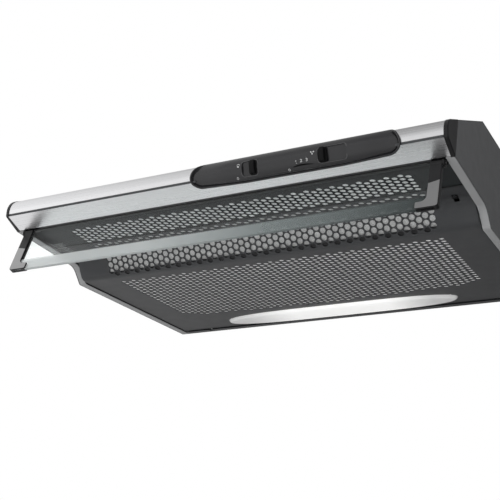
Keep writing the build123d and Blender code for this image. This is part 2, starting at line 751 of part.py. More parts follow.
def hinge_tab(x_low):
    """One tab behind the door's rear lip, with its eye on the hinge axis."""
    half = DOOR_EYE_RADIUS / 2
    face = make_face(
        Polyline(
            (-DOOR_REAR - SHEET / 2, DOOR_Z + DOOR_LIP_BEND + SHEET),
            (DOOR_AXIS_Y - half, DOOR_AXIS_Z - DOOR_EYE_RADIUS),
            (DOOR_AXIS_Y + half, DOOR_AXIS_Z - DOOR_EYE_RADIUS),
            (DOOR_AXIS_Y + DOOR_EYE_RADIUS, DOOR_AXIS_Z - half),
            (DOOR_AXIS_Y + DOOR_EYE_RADIUS, DOOR_AXIS_Z + half),
            (DOOR_AXIS_Y + half, DOOR_AXIS_Z + DOOR_EYE_RADIUS),
            (-DOOR_REAR - SHEET / 2, DOOR_Z + DOOR_LIP),
            close=True,
        ).edges()
    )
    tab = prism(face, x_low, x_low + DOOR_TAB)
    bore = DOOR_PIN_RADIUS + PIN_CLEARANCE
    return tab - rod((x_low - 1, DOOR_AXIS_Y, DOOR_AXIS_Z), (1, 0, 0), bore, DOOR_TAB + 2)


def rod_seat():
    """Height of the filter rods' axes."""
    return DOOR_Z + SHEET + GAP + FILTER_THICKNESS + GAP + ROD_RADIUS


def grille_door():
    """Hinged grille: one folded sheet with a perforated riser and lips all round."""
    radii = [DOOR_LIP_BEND, DOOR_BEND_RADIUS, DOOR_FOOT_RADIUS, DOOR_LIP_BEND]
    door = prism(folded(door_corners(), radii, SHEET), -DOOR_HALF, DOOR_HALF)
    lip = door_layer(0, DOOR_LIP)
    for side in (-DOOR_HALF, DOOR_HALF - SHEET):
        door += prism(lip, side, side + SHEET)
    door -= riser_holes()
    door -= extrude(lens_outline(LENS_CUT_CLEARANCE), 2 * DOOR_Z + SHEET)
    slots = door_latch_slots()
    door -= slots
    door -= mirrored(slots)
    tab = hinge_tab(DOOR_HINGE_X)
    door = door + tab + mirrored(tab)
    reach = ROD_RADIUS + FIT
    for depth in ROD_DEPTHS:
        low = (-DOOR_HALF - 1, -depth - reach, rod_seat() - reach)
        door -= block(low, (DOOR_HALF + 1, -depth + reach, rod_seat() + reach))
    return door


def hinge_bracket():
    """Right door hinge bracket: an ear beside the tab and a foot on the rear wall."""
    x_low = DOOR_HINGE_X + DOOR_TAB + GAP
    half = DOOR_EYE_RADIUS / 2
    ear = make_face(
        Polyline(
            (DOOR_AXIS_Y - half, DOOR_AXIS_Z - DOOR_EYE_RADIUS),
            (-SHEET - GAP / 2, DOOR_AXIS_Z - DOOR_EYE_RADIUS),
            (-SHEET - GAP / 2, HINGE_FOOT_HEIGHT),
            (DOOR_AXIS_Y + HINGE_SHEET, HINGE_FOOT_HEIGHT),
            (DOOR_AXIS_Y - DOOR_EYE_RADIUS, DOOR_AXIS_Z + half),
            (DOOR_AXIS_Y - DOOR_EYE_RADIUS, DOOR_AXIS_Z - half),
            close=True,
        ).edges()
    )
    bracket = prism(ear, x_low, x_low + HINGE_SHEET)
    foot_low = (x_low, -SHEET - HINGE_SHEET, DOOR_AXIS_Z + DOOR_EYE_RADIUS)
    bracket += block(foot_low, (x_low + HINGE_FOOT, -SHEET, HINGE_FOOT_HEIGHT))
    return bracket - rod(
        (x_low - 1, DOOR_AXIS_Y, DOOR_AXIS_Z), (1, 0, 0), DOOR_PIN_RADIUS + PIN_CLEARANCE, 2 * HINGE_SHEET
    )


def hinge_pin():
    """Right door hinge pin with a hexagon head outside the bracket."""
    start = DOOR_HINGE_X - 1
    end = DOOR_HINGE_X + DOOR_TAB + GAP + HINGE_SHEET
    pin = rod((start, DOOR_AXIS_Y, DOOR_AXIS_Z), (1, 0, 0), DOOR_PIN_RADIUS, end - start)
    return pin + flat_rod((end, DOOR_AXIS_Y, DOOR_AXIS_Z), (1, 0, 0), DOOR_PIN_RADIUS + PIN_HEAD, PIN_HEAD)


def grease_filter():
    """Aluminium mesh mat that lies over the door's inside, from the lamp to the front."""
    mat = prism(
        door_layer(SHEET + GAP, SHEET + GAP + FILTER_THICKNESS), -FILTER_HALF_WIDTH, FILTER_HALF_WIDTH
    )
    front = -DOOR_FRONT + SHEET + GAP
    keep = block((-DOOR_HALF, front, 0), (DOOR_HALF, -FILTER_REAR, HOOD_HEIGHT))
    return mat & keep


def filter_rod(depth):
    """Spring rod across the mat, its ends in square holes in the side lips."""
    reach = DOOR_HALF - SHEET / 4
    return flat_rod((-reach, -depth, rod_seat()), (1, 0, 0), ROD_RADIUS, 2 * reach)


def lamp_lens():
    """Bowed lamp lens: a shallow tray under the door with a lap above its opening."""
    wall = LENS_WALL
    outer = loft(
        [
            Plane.XY.offset(DOOR_Z + SHEET) * lens_outline(-LENS_CUT_CLEARANCE),
            Plane.XY.offset(DOOR_Z - LENS_DROP) * lens_outline(-LENS_LAP - LENS_DROP),
        ]
    )
    inner = Pos(0, 0, wall) * loft(
        [
            Plane.XY.offset(DOOR_Z + SHEET) * lens_outline(-LENS_CUT_CLEARANCE - wall),
            Plane.XY.offset(DOOR_Z - LENS_DROP) * lens_outline(-LENS_LAP - LENS_DROP - wall),
        ]
    )
    lap_z = DOOR_Z + SHEET
    lap = Plane.XY.offset(lap_z) * (lens_outline(LENS_LAP) - lens_outline(-LENS_CUT_CLEARANCE - wall))
    return outer - inner + extrude(lap, wall)


def grille_latch():
    """Right door latch: a plate with a tongue over the strip and a finger nub below."""
    z_low = STRIP_REAR_Z + SHEET + GAP
    front = -DOOR_FRONT - LATCH_TONGUE
    rear = front + LATCH_TONGUE + LATCH_BODY
    half = LATCH_WIDTH / 2
    latch = block((LATCH_X - half, front, z_low), (LATCH_X + half, rear, z_low + LATCH_THICKNESS))
    front_edges = latch.edges().filter_by(Axis.X).group_by(Axis.Z)[-1].sort_by(Axis.Y)[0]
    latch = chamfer(front_edges, LATCH_THICKNESS / 2)
    nub_y = -DOOR_FRONT + LATCH_NUB_SET
    nub = block(
        (LATCH_X - LATCH_NUB / 2, nub_y - LATCH_NUB / 2, z_low - LATCH_NUB_DROP),
        (LATCH_X + LATCH_NUB / 2, nub_y + LATCH_NUB / 2, z_low),
    )
    return latch + nub


def latch_guide():
    """Right latch guide: a bridge over the latch with a foot on each side of it."""
    half = LATCH_WIDTH / 2 + GAP
    top = STRIP_REAR_Z + SHEET + LATCH_THICKNESS + 2 * GAP
    y_low = -DOOR_FRONT + SHEET + GUIDE_SET
    y_high = y_low + GUIDE_LENGTH
    foot = 3 * GUIDE_WALL
    outer = block(
        (LATCH_X - half - foot, y_low, STRIP_REAR_Z + SHEET),
        (LATCH_X + half + foot, y_high, top + GUIDE_WALL),
    )
    return outer - block((LATCH_X - half, y_low - 1, 0), (LATCH_X + half, y_high + 1, top))


def lamp_reflector():
    """Bent reflector over the lamp, its tab flat against the rear wall."""
    section = folded(
        [
            (-SHEET - REFLECTOR_SHEET, REFLECTOR_TOP_Z + REFLECTOR_TAB),
            (-SHEET - REFLECTOR_SHEET, REFLECTOR_TOP_Z),
            (-REFLECTOR_SHOULDER, REFLECTOR_TOP_Z),
            (-REFLECTOR_FRONT, REFLECTOR_FRONT_Z),
        ],
        [2 * REFLECTOR_SHEET, 6 * REFLECTOR_SHEET],
        REFLECTOR_SHEET,
    )
    half = REFLECTOR_LENGTH / 2
    return prism(section, REFLECTOR_X - half, REFLECTOR_X + half)


def lamp_bulb():
    """Tubular lamp on its keyed cap, lying along the reflector."""
    start = (BULB_CENTRE_X - BULB_LENGTH / 2, -LENS_CENTRE_DEPTH, BULB_Z)
    glass = flat_rod(start, (1, 0, 0), BULB_RADIUS, BULB_LENGTH, WHEEL_FLATS)
    return glass + flat_rod(start, (-1, 0, 0), CAP_BULB_RADIUS, CAP_BULB_LENGTH)


def lamp_holder():
    """Lamp holder hung from the reflector, with a bore for the lamp's cap."""
    right = BULB_CENTRE_X - BULB_LENGTH / 2 - GAP
    half = HOLDER_WIDTH / 2
    holder = block(
        (right - HOLDER_LENGTH, -LENS_CENTRE_DEPTH - half, BULB_Z - half),
        (right, -LENS_CENTRE_DEPTH + half, REFLECTOR_TOP_Z - REFLECTOR_SHEET),
    )
    start = (right + 1, -LENS_CENTRE_DEPTH, BULB_Z)
    return holder - flat_rod(start, (-1, 0, 0), CAP_BULB_RADIUS + FIT, CAP_BULB_LENGTH + 2)


def scroll_quarters():
    """Centre and radius of each quarter turn of the blower's spiral, clockwise from +X."""
    return [
        (WHEEL_X, WHEEL_Y, SCROLL_START),
        (WHEEL_X, WHEEL_Y + SCROLL_STEP, SCROLL_START + SCROLL_STEP),
        (WHEEL_X + SCROLL_STEP, WHEEL_Y + SCROLL_STEP, SCROLL_START + 2 * SCROLL_STEP),
    ]


def scroll_outline(grow=0.0):
    """The blower's outline from above, in flats: a spiral that runs on into a round well."""
    well = SPIGOT_RADIUS + SCROLL_WALL + grow
    flats = range(0, 91, SCROLL_FLAT)
    points = []
    for turn, (x, y, radius) in enumerate(scroll_quarters()):
        angles = [radians(-90 * turn - angle) for angle in flats[:-1]]
        points += [(x + (radius + grow) * cos(a), y + (radius + grow) * sin(a)) for a in angles]
    angles = [radians(90 - angle) for angle in range(0, 181, SCROLL_FLAT)]
    points.append((WHEEL_X + SCROLL_STEP, OUTLET_Y + well))
    points += [(OUTLET_X + well * cos(a), OUTLET_Y + well * sin(a)) for a in angles]
    return make_face(Polyline(*points, close=True).edges())


def blower_scroll():
    """Blower housing: a floor with the inlet and a wall along the spiral."""
    outline = scroll_outline()
    tray = extrude(Plane.XY.offset(SCROLL_BOTTOM_Z) * outline, COVER_Z - SCROLL_BOTTOM_Z)
    inside = Plane.XY.offset(SCROLL_BOTTOM_Z + SCROLL_WALL) * scroll_outline(-SCROLL_WALL)
    tray -= extrude(inside, COVER_Z - SCROLL_BOTTOM_Z)
    inlet = (WHEEL_X, WHEEL_Y, SCROLL_BOTTOM_Z - 1)
    return tray - flat_rod(inlet, (0, 0, 1), INLET_RADIUS, SCROLL_WALL + 2, WHEEL_FLATS)


def ear_seats():
    """Centre, direction and distance of each fixing ear of the blower."""
    seats = [
        (x, y, -45 - 90 * turn, radius + EAR_REACH)
        for turn, (x, y, radius) in enumerate(scroll_quarters())
    ]
    clear = SPIGOT_RADIUS + SPIGOT_FLANGE + BOSS_RADIUS + GAP
    seats.append((OUTLET_X, OUTLET_Y, WELL_EAR_ANGLE, clear))
    return seats


def scroll_cover():
    """Lid of the blower, with ears whose bosses reach the roof, and the outlet's hole."""
    plan = scroll_outline()
    for x, y, angle, reach in ear_seats():
        ear = Pos(reach + (EAR_RADIUS - EAR_ROOT) / 2, 0) * Rectangle(EAR_ROOT + EAR_RADIUS, 2 * EAR_RADIUS)
        plan += Pos(x, y) * Rot(0, 0, angle) * ear
    plan -= Pos(WHEEL_X, WHEEL_Y) * RegularPolygon(SHAFT_RADIUS + 1, 6)
    plan -= Pos(OUTLET_X, OUTLET_Y) * Circle(SPIGOT_RADIUS - SPIGOT_WALL)
    lid = extrude(Plane.XY.offset(COVER_Z) * plan, TOP_PLATE)
    for x, y, angle, reach in ear_seats():
        foot = (x + reach * cos(radians(angle)), y + reach * sin(radians(angle)), COVER_Z)
        lid += flat_rod(foot, (0, 0, 1), BOSS_RADIUS, ROOF_Z - COVER_Z)
    return lid


def impeller_wheel():
    """Impeller: a disc with its hub, a ring of blades and a lower ring."""
    top = WHEEL_BOTTOM_Z + WHEEL_HEIGHT
    disc_plan = Pos(WHEEL_X, WHEEL_Y) * RegularPolygon(WHEEL_RADIUS, WHEEL_FLATS)
    ring_plan = disc_plan - Pos(WHEEL_X, WHEEL_Y) * RegularPolygon(WHEEL_BORE, WHEEL_FLATS)
    wheel = extrude(Plane.XY.offset(top - WHEEL_DISC) * disc_plan, WHEEL_DISC)
    wheel += extrude(Plane.XY.offset(WHEEL_BOTTOM_Z) * ring_plan, WHEEL_DISC)
    length = WHEEL_RADIUS - WHEEL_BORE
    blades = Sketch()
    for index in range(BLADES):
        blade = Rot(0, 0, 360 / BLADES * index) * Pos(WHEEL_BORE + length / 2, 0)
        blades += Pos(WHEEL_X, WHEEL_Y) * blade * Rot(0, 0, 35) * Rectangle(length, BLADE_THICKNESS)
    wheel += extrude(Plane.XY.offset(WHEEL_BOTTOM_Z + WHEEL_DISC / 2) * blades, WHEEL_HEIGHT - WHEEL_DISC)
    hub = Pos(WHEEL_X, WHEEL_Y) * RegularPolygon(2.5 * SHAFT_RADIUS, 8)
    wheel += extrude(Plane.XY.offset(top - WHEEL_DISC - 12) * hub, 12)
    bore = (WHEEL_X, WHEEL_Y, WHEEL_BOTTOM_Z)
    return wheel - rod(bore, (0, 0, 1), SHAFT_RADIUS + PIN_CLEARANCE, WHEEL_HEIGHT + 1)


def motor_shaft():
    """Shaft from the impeller's hub up into the motor."""
    low = WHEEL_BOTTOM_Z + WHEEL_HEIGHT - WHEEL_DISC - 14
    high = COVER_Z + TOP_PLATE + MOTOR_HEIGHT - 2
    return flat_rod((WHEEL_X, WHEEL_Y, low), (0, 0, 1), SHAFT_RADIUS, high - low)


def motor():
    """Flat motor on the blower's lid, bored for the shaft."""
    base = (WHEEL_X, WHEEL_Y, COVER_Z + TOP_PLATE)
    body = flat_rod(base, (0, 0, 1), MOTOR_RADIUS, MOTOR_HEIGHT, WHEEL_FLATS)
    return body - rod(base, (0, 0, 1), SHAFT_RADIUS + PIN_CLEARANCE, MOTOR_HEIGHT - 1)


def outlet_spigot():
    """Duct spigot: a neck through the roof, the duct's seat above it, a foot on the lid."""
    foot = (OUTLET_X, OUTLET_Y, COVER_Z + TOP_PLATE)
    stop = HOOD_HEIGHT + DUCT_STOP
    tube = rod((OUTLET_X, OUTLET_Y, stop), (0, 0, 1), SPIGOT_RADIUS, SPIGOT_HEIGHT - DUCT_STOP)
    tube += flat_rod(foot, (0, 0, 1), SPIGOT_RADIUS - SPIGOT_NECK, stop - foot[2], NECK_FLATS)
    tube += flat_rod(foot, (0, 0, 1), SPIGOT_RADIUS + SPIGOT_FLANGE, SPIGOT_WALL, 12)
    return tube - rod((OUTLET_X, OUTLET_Y, 0), (0, 0, 1), SPIGOT_RADIUS - SPIGOT_WALL, 2 * HOOD_HEIGHT)


def lug_block(side, clearance):
    """One lug of the flap seat, for both pins, at the front (-1) or the rear (1)."""
    half = FLAP_HINGE_X + FLAP_KNUCKLE + clearance
    near = SPIGOT_RADIUS - SPIGOT_WALL - LUG_SET - LUG_LENGTH - min(clearance, GAP)
    far = near + LUG_LENGTH + 2 * clearance
    low = (OUTLET_X - half, OUTLET_Y + min(side * near, side * far), FLAP_Z - FLAP_KNUCKLE - GAP)
    high = (OUTLET_X + half, OUTLET_Y + max(side * near, side * far), FLAP_Z + FLAP_KNUCKLE)
    return block(low, high)


def flap_seat():
    """Ring pressed into the spigot: it stops the flaps and holds their pins in slotted lugs."""
    seat_z = FLAP_Z - FLAP_KNUCKLE - GAP - SEAT_THICKNESS
    bore = SPIGOT_RADIUS - SPIGOT_WALL
    ring = RegularPolygon(bore - FIT, WHEEL_FLATS) - RegularPolygon(bore - SEAT_WIDTH, WHEEL_FLATS)
    bar = Rectangle(2 * (FLAP_HINGE_X + FLAP_KNUCKLE), 2 * (bore - SEAT_WIDTH / 2))
    seat = extrude(Plane.XY.offset(seat_z) * Pos(OUTLET_X, OUTLET_Y) * (ring + bar), SEAT_THICKNESS)
    seat += lug_block(-1, 0) + lug_block(1, 0)
    reach = FLAP_PIN + PIN_CLEARANCE
    for x in (OUTLET_X - FLAP_HINGE_X, OUTLET_X + FLAP_HINGE_X):
        low = (x - reach, OUTLET_Y - SPIGOT_RADIUS, FLAP_Z - reach)
        seat -= block(low, (x + reach, OUTLET_Y + SPIGOT_RADIUS, FLAP_Z + FLAP_KNUCKLE))
    return seat


def flap_pin():
    """Right flap pin, from lug to lug."""
    reach = SPIGOT_RADIUS - SPIGOT_WALL - LUG_SET
    start = (OUTLET_X + FLAP_HINGE_X, OUTLET_Y - reach, FLAP_Z)
    return flat_rod(start, (0, 1, 0), FLAP_PIN, 2 * reach)


def outlet_flap():
    """Right flap: a half moon with a knuckle along its straight side, between the lugs."""
    radius = SPIGOT_RADIUS - SPIGOT_WALL - FLAP_CLEARANCE
    centre = Pos(OUTLET_X, OUTLET_Y)
    moon = centre * RegularPolygon(radius, WHEEL_FLATS)
    moon &= centre * Pos(FLAP_HINGE_X + radius / 2, 0) * Rectangle(radius, 2 * radius)
    z_low = FLAP_Z - FLAP_KNUCKLE
    flap = extrude(Plane.XY.offset(z_low) * moon, FLAP_THICKNESS)
    for side in (-1, 1):
        flap -= lug_block(side, LUG_CLEARANCE)
    reach = SPIGOT_RADIUS - SPIGOT_WALL - LUG_SET - LUG_LENGTH - GAP
    start = (OUTLET_X + FLAP_HINGE_X, OUTLET_Y - reach, FLAP_Z)
    flap += flat_rod(start, (0, 1, 0), FLAP_KNUCKLE, 2 * reach)
    return flap - rod(start, (0, 1, 0), FLAP_PIN + PIN_CLEARANCE, 2 * reach)


def terminal_box():
    """Connection box under the roof, open inside for the wiring."""
    low = (BOX_X, BOX_Y, ROOF_Z - BOX_HEIGHT)
    high = (BOX_X + BOX_LENGTH, BOX_Y + BOX_WIDTH, ROOF_Z)
    box = block(low, high)
    wall = 2.0
    inner_low = (low[0] + wall, low[1] + wall, low[2] + wall)
    box -= block(inner_low, (high[0] - wall, high[1] - wall, high[2] + wall))
    return box


def cable_gland():
    """Cable gland: a keyed sleeve through the roof under a hexagon head."""
    centre = (BOX_X + BOX_LENGTH / 2, BOX_Y + BOX_WIDTH / 2, HOOD_HEIGHT)
    nut = flat_rod(centre, (0, 0, 1), GLAND_NUT, GLAND_RISE)
    gland = nut + flat_rod(centre, (0, 0, -1), GLAND_RADIUS, GLAND_RISE)
    return gland - rod((centre[0], centre[1], 0), (0, 0, 1), GLAND_BORE, 2 * HOOD_HEIGHT)


def capacitor():
    """Run capacitor hung under the roof."""
    length, width, height = CAPACITOR_SIZE
    low = (CAPACITOR_X, CAPACITOR_Y, ROOF_Z - height)
    return block(low, (CAPACITOR_X + length, CAPACITOR_Y + width, ROOF_Z))


def build():
    """Every node of the hood by name."""
    right = {
        "side_panel": side_panel(),
        "end_cap": end_cap(),
        "visor_arm": visor_arm(),
        "visor_bracket": visor_bracket(),
        "visor_pin": visor_pin(),
        "grille_latch": grille_latch(),
        "latch_guide": latch_guide(),
        "hinge_bracket": hinge_bracket(),
        "hinge_pin": hinge_pin(),
        "outlet_flap": outlet_flap(),
        "flap_pin": flap_pin(),
    }
    nodes = {
        "canopy_sheet": canopy_sheet(),
        "rear_panel": rear_panel(),
        "front_beam": beam(),
        "front_rail": front_rail(),
        "control_bezel": control_bezel(),
        "light_slider": slider(LIGHT_POCKET_X + LIGHT_POCKET_WIDTH - KNOB_WIDTH),
        "speed_slider": slider(SPEED_POCKET_X),
        "light_switch": switch(LIGHT_POCKET_X, LIGHT_POCKET_WIDTH),
        "speed_switch": switch(SPEED_POCKET_X, SPEED_POCKET_WIDTH),
        "visor_glass": visor_slab(glass_face(), GLASS_THICKNESS),
        "front_grille": front_grille(),
        "grille_door": grille_door(),
        "grease_filter": grease_filter(),
        "filter_rod_rear": filter_rod(ROD_DEPTHS[0]),
        "filter_rod_front": filter_rod(ROD_DEPTHS[1]),
        "lamp_lens": lamp_lens(),
        "lamp_reflector": lamp_reflector(),
        "lamp_bulb": lamp_bulb(),
        "lamp_holder": lamp_holder(),
        "blower_scroll": blower_scroll(),
        "scroll_cover": scroll_cover(),
        "impeller_wheel": impeller_wheel(),
        "motor_shaft": motor_shaft(),
        "motor": motor(),
        "outlet_spigot": outlet_spigot(),
        "flap_seat": flap_seat(),
        "terminal_box": terminal_box(),
        "cable_gland": cable_gland(),
        "capacitor": capacitor(),
    }
    for name, part in right.items():
        nodes[name + "_right"] = part
        nodes[name + "_left"] = mirrored(part)
    return nodes


os.makedirs("parts", exist_ok=True)
for name, part in build().items():
    part.label = name
    export_step(part, f"parts/{name}.step")
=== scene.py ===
import json
from math import acos, asin, atan2, copysign, cos, hypot, pi, radians, sin, sqrt, tan

import bmesh
import bpy
import numpy as np
from mathutils import Matrix, Vector


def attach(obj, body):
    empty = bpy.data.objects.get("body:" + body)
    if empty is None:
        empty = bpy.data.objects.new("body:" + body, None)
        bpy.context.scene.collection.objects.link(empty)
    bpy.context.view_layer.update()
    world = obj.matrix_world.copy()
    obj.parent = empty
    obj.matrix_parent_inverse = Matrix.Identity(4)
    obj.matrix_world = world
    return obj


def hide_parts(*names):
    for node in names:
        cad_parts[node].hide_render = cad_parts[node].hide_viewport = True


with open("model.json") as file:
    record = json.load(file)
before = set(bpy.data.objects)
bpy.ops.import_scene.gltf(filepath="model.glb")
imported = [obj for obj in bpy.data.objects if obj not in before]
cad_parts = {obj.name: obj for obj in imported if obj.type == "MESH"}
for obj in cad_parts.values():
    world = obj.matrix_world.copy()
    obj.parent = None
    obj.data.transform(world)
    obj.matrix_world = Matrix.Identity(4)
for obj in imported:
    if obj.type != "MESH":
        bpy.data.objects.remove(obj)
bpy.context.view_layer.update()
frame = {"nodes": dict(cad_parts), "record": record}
NODES = frame["nodes"]

# sizes, in millimetres
# X to the right, Y back to the wall at 0, Z up from the flat underside
RAIL_HALF = 294.0
SHEET = 0.8
SPLIT_Y, SPLIT_Z, LEAN = -431.5, 31.0, tan(radians(17.4))
CANOPY_TOP, CANOPY_Y = 131.0, -308.0     # the canopy's flat top and where it starts to slope down
RAIL_TOP = 82.0
RAIL_TOP_Y = SPLIT_Y + (RAIL_TOP - SPLIT_Z) * LEAN
SLOPE = (CANOPY_TOP - RAIL_TOP) / (CANOPY_Y - RAIL_TOP_Y)
NOSE_Y = -456.5
CREASE_Z = SPLIT_Z + (SPLIT_Y - NOSE_Y) * tan(radians(26.6))
ARCH_Y, ARCH_Z, ARCH_R = -442.0, CREASE_Z + 8.9, 17.9
COLUMN = 8.325                           # half the pitch of the holes along a row
ROW = 4.55                               # pitch of the rows on the flat of the door
STRIP_ROW = 4.15                         # and on the strip, which go on over the front of the door
FIRST_ROW = 30.5                         # the strip's first row, from its front edge
RISER_ROW = 4.7
DOOR_HALF = 287.2
STRIP_HALF = 291.5
STRIP_FRONT = -426.0
AXIS_Y, AXIS_Z, VISOR_LEAN = -429.0, 26.5, radians(20.3)      # the visor's hinge and its tilt
LOW = -63.5                              # the visor's lower edge, measured down the glass
FROST_TOP, FROST_FULL = 16.8, 14.5       # heights above that edge between which the frosting fades out
DOOR_FRONT = -353.6
DOOR_LIP = 10.0
SHELF_Z, FLAT_Z = 31.0, 1.5              # outer faces of the door's shelf and of its flat
RISER_TOP_Y, RISER_FOOT_Y, DOOR_REAR = -315.19, -299.5, -11.8
DOOR_LINE = [
    (DOOR_FRONT, SHELF_Z + DOOR_LIP), (DOOR_FRONT, SHELF_Z), (RISER_TOP_Y, SHELF_Z),
    (RISER_FOOT_Y, FLAT_Z), (DOOR_REAR, FLAT_Z), (DOOR_REAR, FLAT_Z + DOOR_LIP),
]
EDGE_BEND = 1.2                          # radius where the door's lips turn up
DOOR_BENDS = [EDGE_BEND, 20.0, 13.0, EDGE_BEND]
RISER_HOLE, SHELF_HOLE, FLAT_HOLE, STRIP_HOLE = 4.0, 3.6, 3.4, 3.7      # radii
HOLES = 57                               # places for holes along a row
MIDDLE = HOLES // 2


# node trees of the materials and the world
class NodeTree:
    """A node tree with short calls to add and join nodes."""

    def __init__(self, tree):
        self.tree = tree
        self.tree.nodes.clear()

    def add(self, kind, **values):
        node = self.tree.nodes.new(kind)
        for key, value in values.items():
            setattr(node, key, value)
        return node

    def join(self, source, target):
        self.tree.links.new(source, target)

    def place(self, scale=(1, 1, 1)):
        """Object coordinates, scaled."""
        where = self.add("ShaderNodeTexCoord")
        mapping = self.add("ShaderNodeMapping")
        mapping.inputs["Scale"].default_value = scale
        self.join(where.outputs["Object"], mapping.inputs["Vector"])
        return mapping.outputs[0]

    def axes(self):
        """The three object coordinates, by name."""
        split = self.add("ShaderNodeSeparateXYZ")
        self.join(self.place(), split.inputs[0])
        return split.outputs

    def noise(self, vector, scale, detail=3.0, rough=0.5):
        node = self.add("ShaderNodeTexNoise")
        node.inputs["Scale"].default_value = scale
        node.inputs["Detail"].default_value = detail
        node.inputs["Roughness"].default_value = rough
        self.join(vector, node.inputs["Vector"])
        return node.outputs["Fac"]

    def ramp(self, value, stops):
        node = self.add("ShaderNodeValToRGB")
        ramp = node.color_ramp
        while len(ramp.elements) < len(stops):
            ramp.elements.new(0.5)
        for element, (position, color) in zip(ramp.elements, stops):
            element.position = position
            element.color = (*color, 1)
        self.join(value, node.inputs[0])
        return node.outputs[0]

    def span(self, value, low, high, low_out=0.0, high_out=1.0):
        """A value between two numbers mapped between two others."""
        node = self.add("ShaderNodeMapRange")
        limits = {"From Min": low, "From Max": high, "To Min": low_out, "To Max": high_out}
        for key, number in limits.items():
            node.inputs[key].default_value = number
        self.join(value, node.inputs["Value"])
        return node.outputs[0]

    def spread(self, value, low, high):
        """A value from 0 to 1 mapped between two numbers."""
        return self.span(value, 0.0, 1.0, low, high)

    def maths(self, operation, first, second):
        node = self.add("ShaderNodeMath", operation=operation)
        self.join(first, node.inputs[0])
        self.join(second, node.inputs[1])
        return node.outputs[0]

    def mix(self, share, first, second):
        """Two shaders mixed, given the second one's share."""
        node = self.add("ShaderNodeMixShader")
        for source, target in zip((share, first, second), node.inputs):
            self.join(source, target)
        return node.outputs[0]

    def bump(self, value, node, strength, distance):
        bump = self.add("ShaderNodeBump")
        bump.inputs["Strength"].default_value = strength
        bump.inputs["Distance"].default_value = distance
        self.join(value, bump.inputs["Height"])
        self.join(bump.outputs[0], node.inputs["Normal"])
        return bump


class Shader(NodeTree):
    """A material and its node tree."""

    def __init__(self, name):
        self.material = bpy.data.materials.new(name)
        self.material.use_nodes = True
        super().__init__(self.material.node_tree)
        self.out = self.add("ShaderNodeOutputMaterial")

    def bsdf(self, color, rough, metal=0.0, **sockets):
        node = self.add("ShaderNodeBsdfPrincipled")
        node.inputs["Base Color"].default_value = (*color, 1)
        node.inputs["Roughness"].default_value = rough
        node.inputs["Metallic"].default_value = metal
        for key, value in sockets.items():
            node.inputs[key.replace("_", " ")].default_value = value
        self.join(node.outputs[0], self.out.inputs[0])
        return node


def greys(*stops):
    """Stops of a ramp, each from a position and a grey level."""
    return [(position, (level,) * 3) for position, level in stops]


def paint(name, color, rough, spread=0.06, specular=0.5):
    """Satin paint or moulded plastic with a fine grain and a slight unevenness."""
    s = Shader(name)
    node = s.bsdf(color, rough, Specular_IOR_Level=specular)
    where = s.place()
    broad = s.noise(where, 14.0, 4.0)
    dark = tuple(c * (1 - spread) for c in color)
    light = tuple(min(1, c * (1 + spread)) for c in color)
    s.join(s.ramp(broad, [(0.3, dark), (0.7, light)]), node.inputs["Base Color"])
    s.join(s.spread(s.noise(where, 60.0), rough - 0.05, rough + 0.05), node.inputs["Roughness"])
    bump = s.bump(s.noise(where, 900.0, 2.0), node, 0.12, 0.0004)
    edge = s.add("ShaderNodeBevel", samples=4)
    edge.inputs["Radius"].default_value = 0.0006
    s.join(edge.outputs[0], bump.inputs["Normal"])
    return s.material


def sides_mat(name):
    """The side panels' paint: dark on the walls, and much lighter on the flange that turns in under them,
    as painted light on its downward face.
    """
    s = Shader(name)
    dark, light = (0.052, 0.053, 0.055), (0.23, 0.232, 0.235)
    node = s.bsdf(dark, 0.36, Specular_IOR_Level=0.25)
    size = s.add("ShaderNodeMath", operation="ABSOLUTE")
    s.join(s.axes()["X"], size.inputs[0])
    # painted light: walls and flange are one sheet with one paint, and the flange's lighter colour stands
    # in for the light it catches
    wall = s.span(size.outputs[0], 0.2972, 0.2978)
    s.join(s.ramp(wall, [(0.0, light), (1.0, dark)]), node.inputs["Base Color"])
    s.join(s.spread(s.noise(s.place(), 60.0), 0.31, 0.41), node.inputs["Roughness"])
    s.bump(s.noise(s.place(), 900.0, 2.0), node, 0.12, 0.0004)
    return s.material


def brushed(name, color, rough, along=(4, 900, 900)):
    """Bare steel with fine brush lines along X."""
    s = Shader(name)
    node = s.bsdf(color, rough, 1.0, Anisotropic=0.75)
    across = s.add("ShaderNodeTangent", direction_type="RADIAL", axis="X")
    s.join(across.outputs[0], node.inputs["Tangent"])
    lines = s.noise(s.place(along), 1.0, 5.0, 0.7)
    dark = tuple(c * 0.95 for c in color)
    light = tuple(min(1, c * 1.04) for c in color)
    s.join(s.ramp(lines, [(0.3, dark), (0.7, light)]), node.inputs["Base Color"])
    s.join(s.spread(lines, rough - 0.04, rough + 0.06), node.inputs["Roughness"])
    s.bump(lines, node, 0.05, 0.0002)
    return s.material


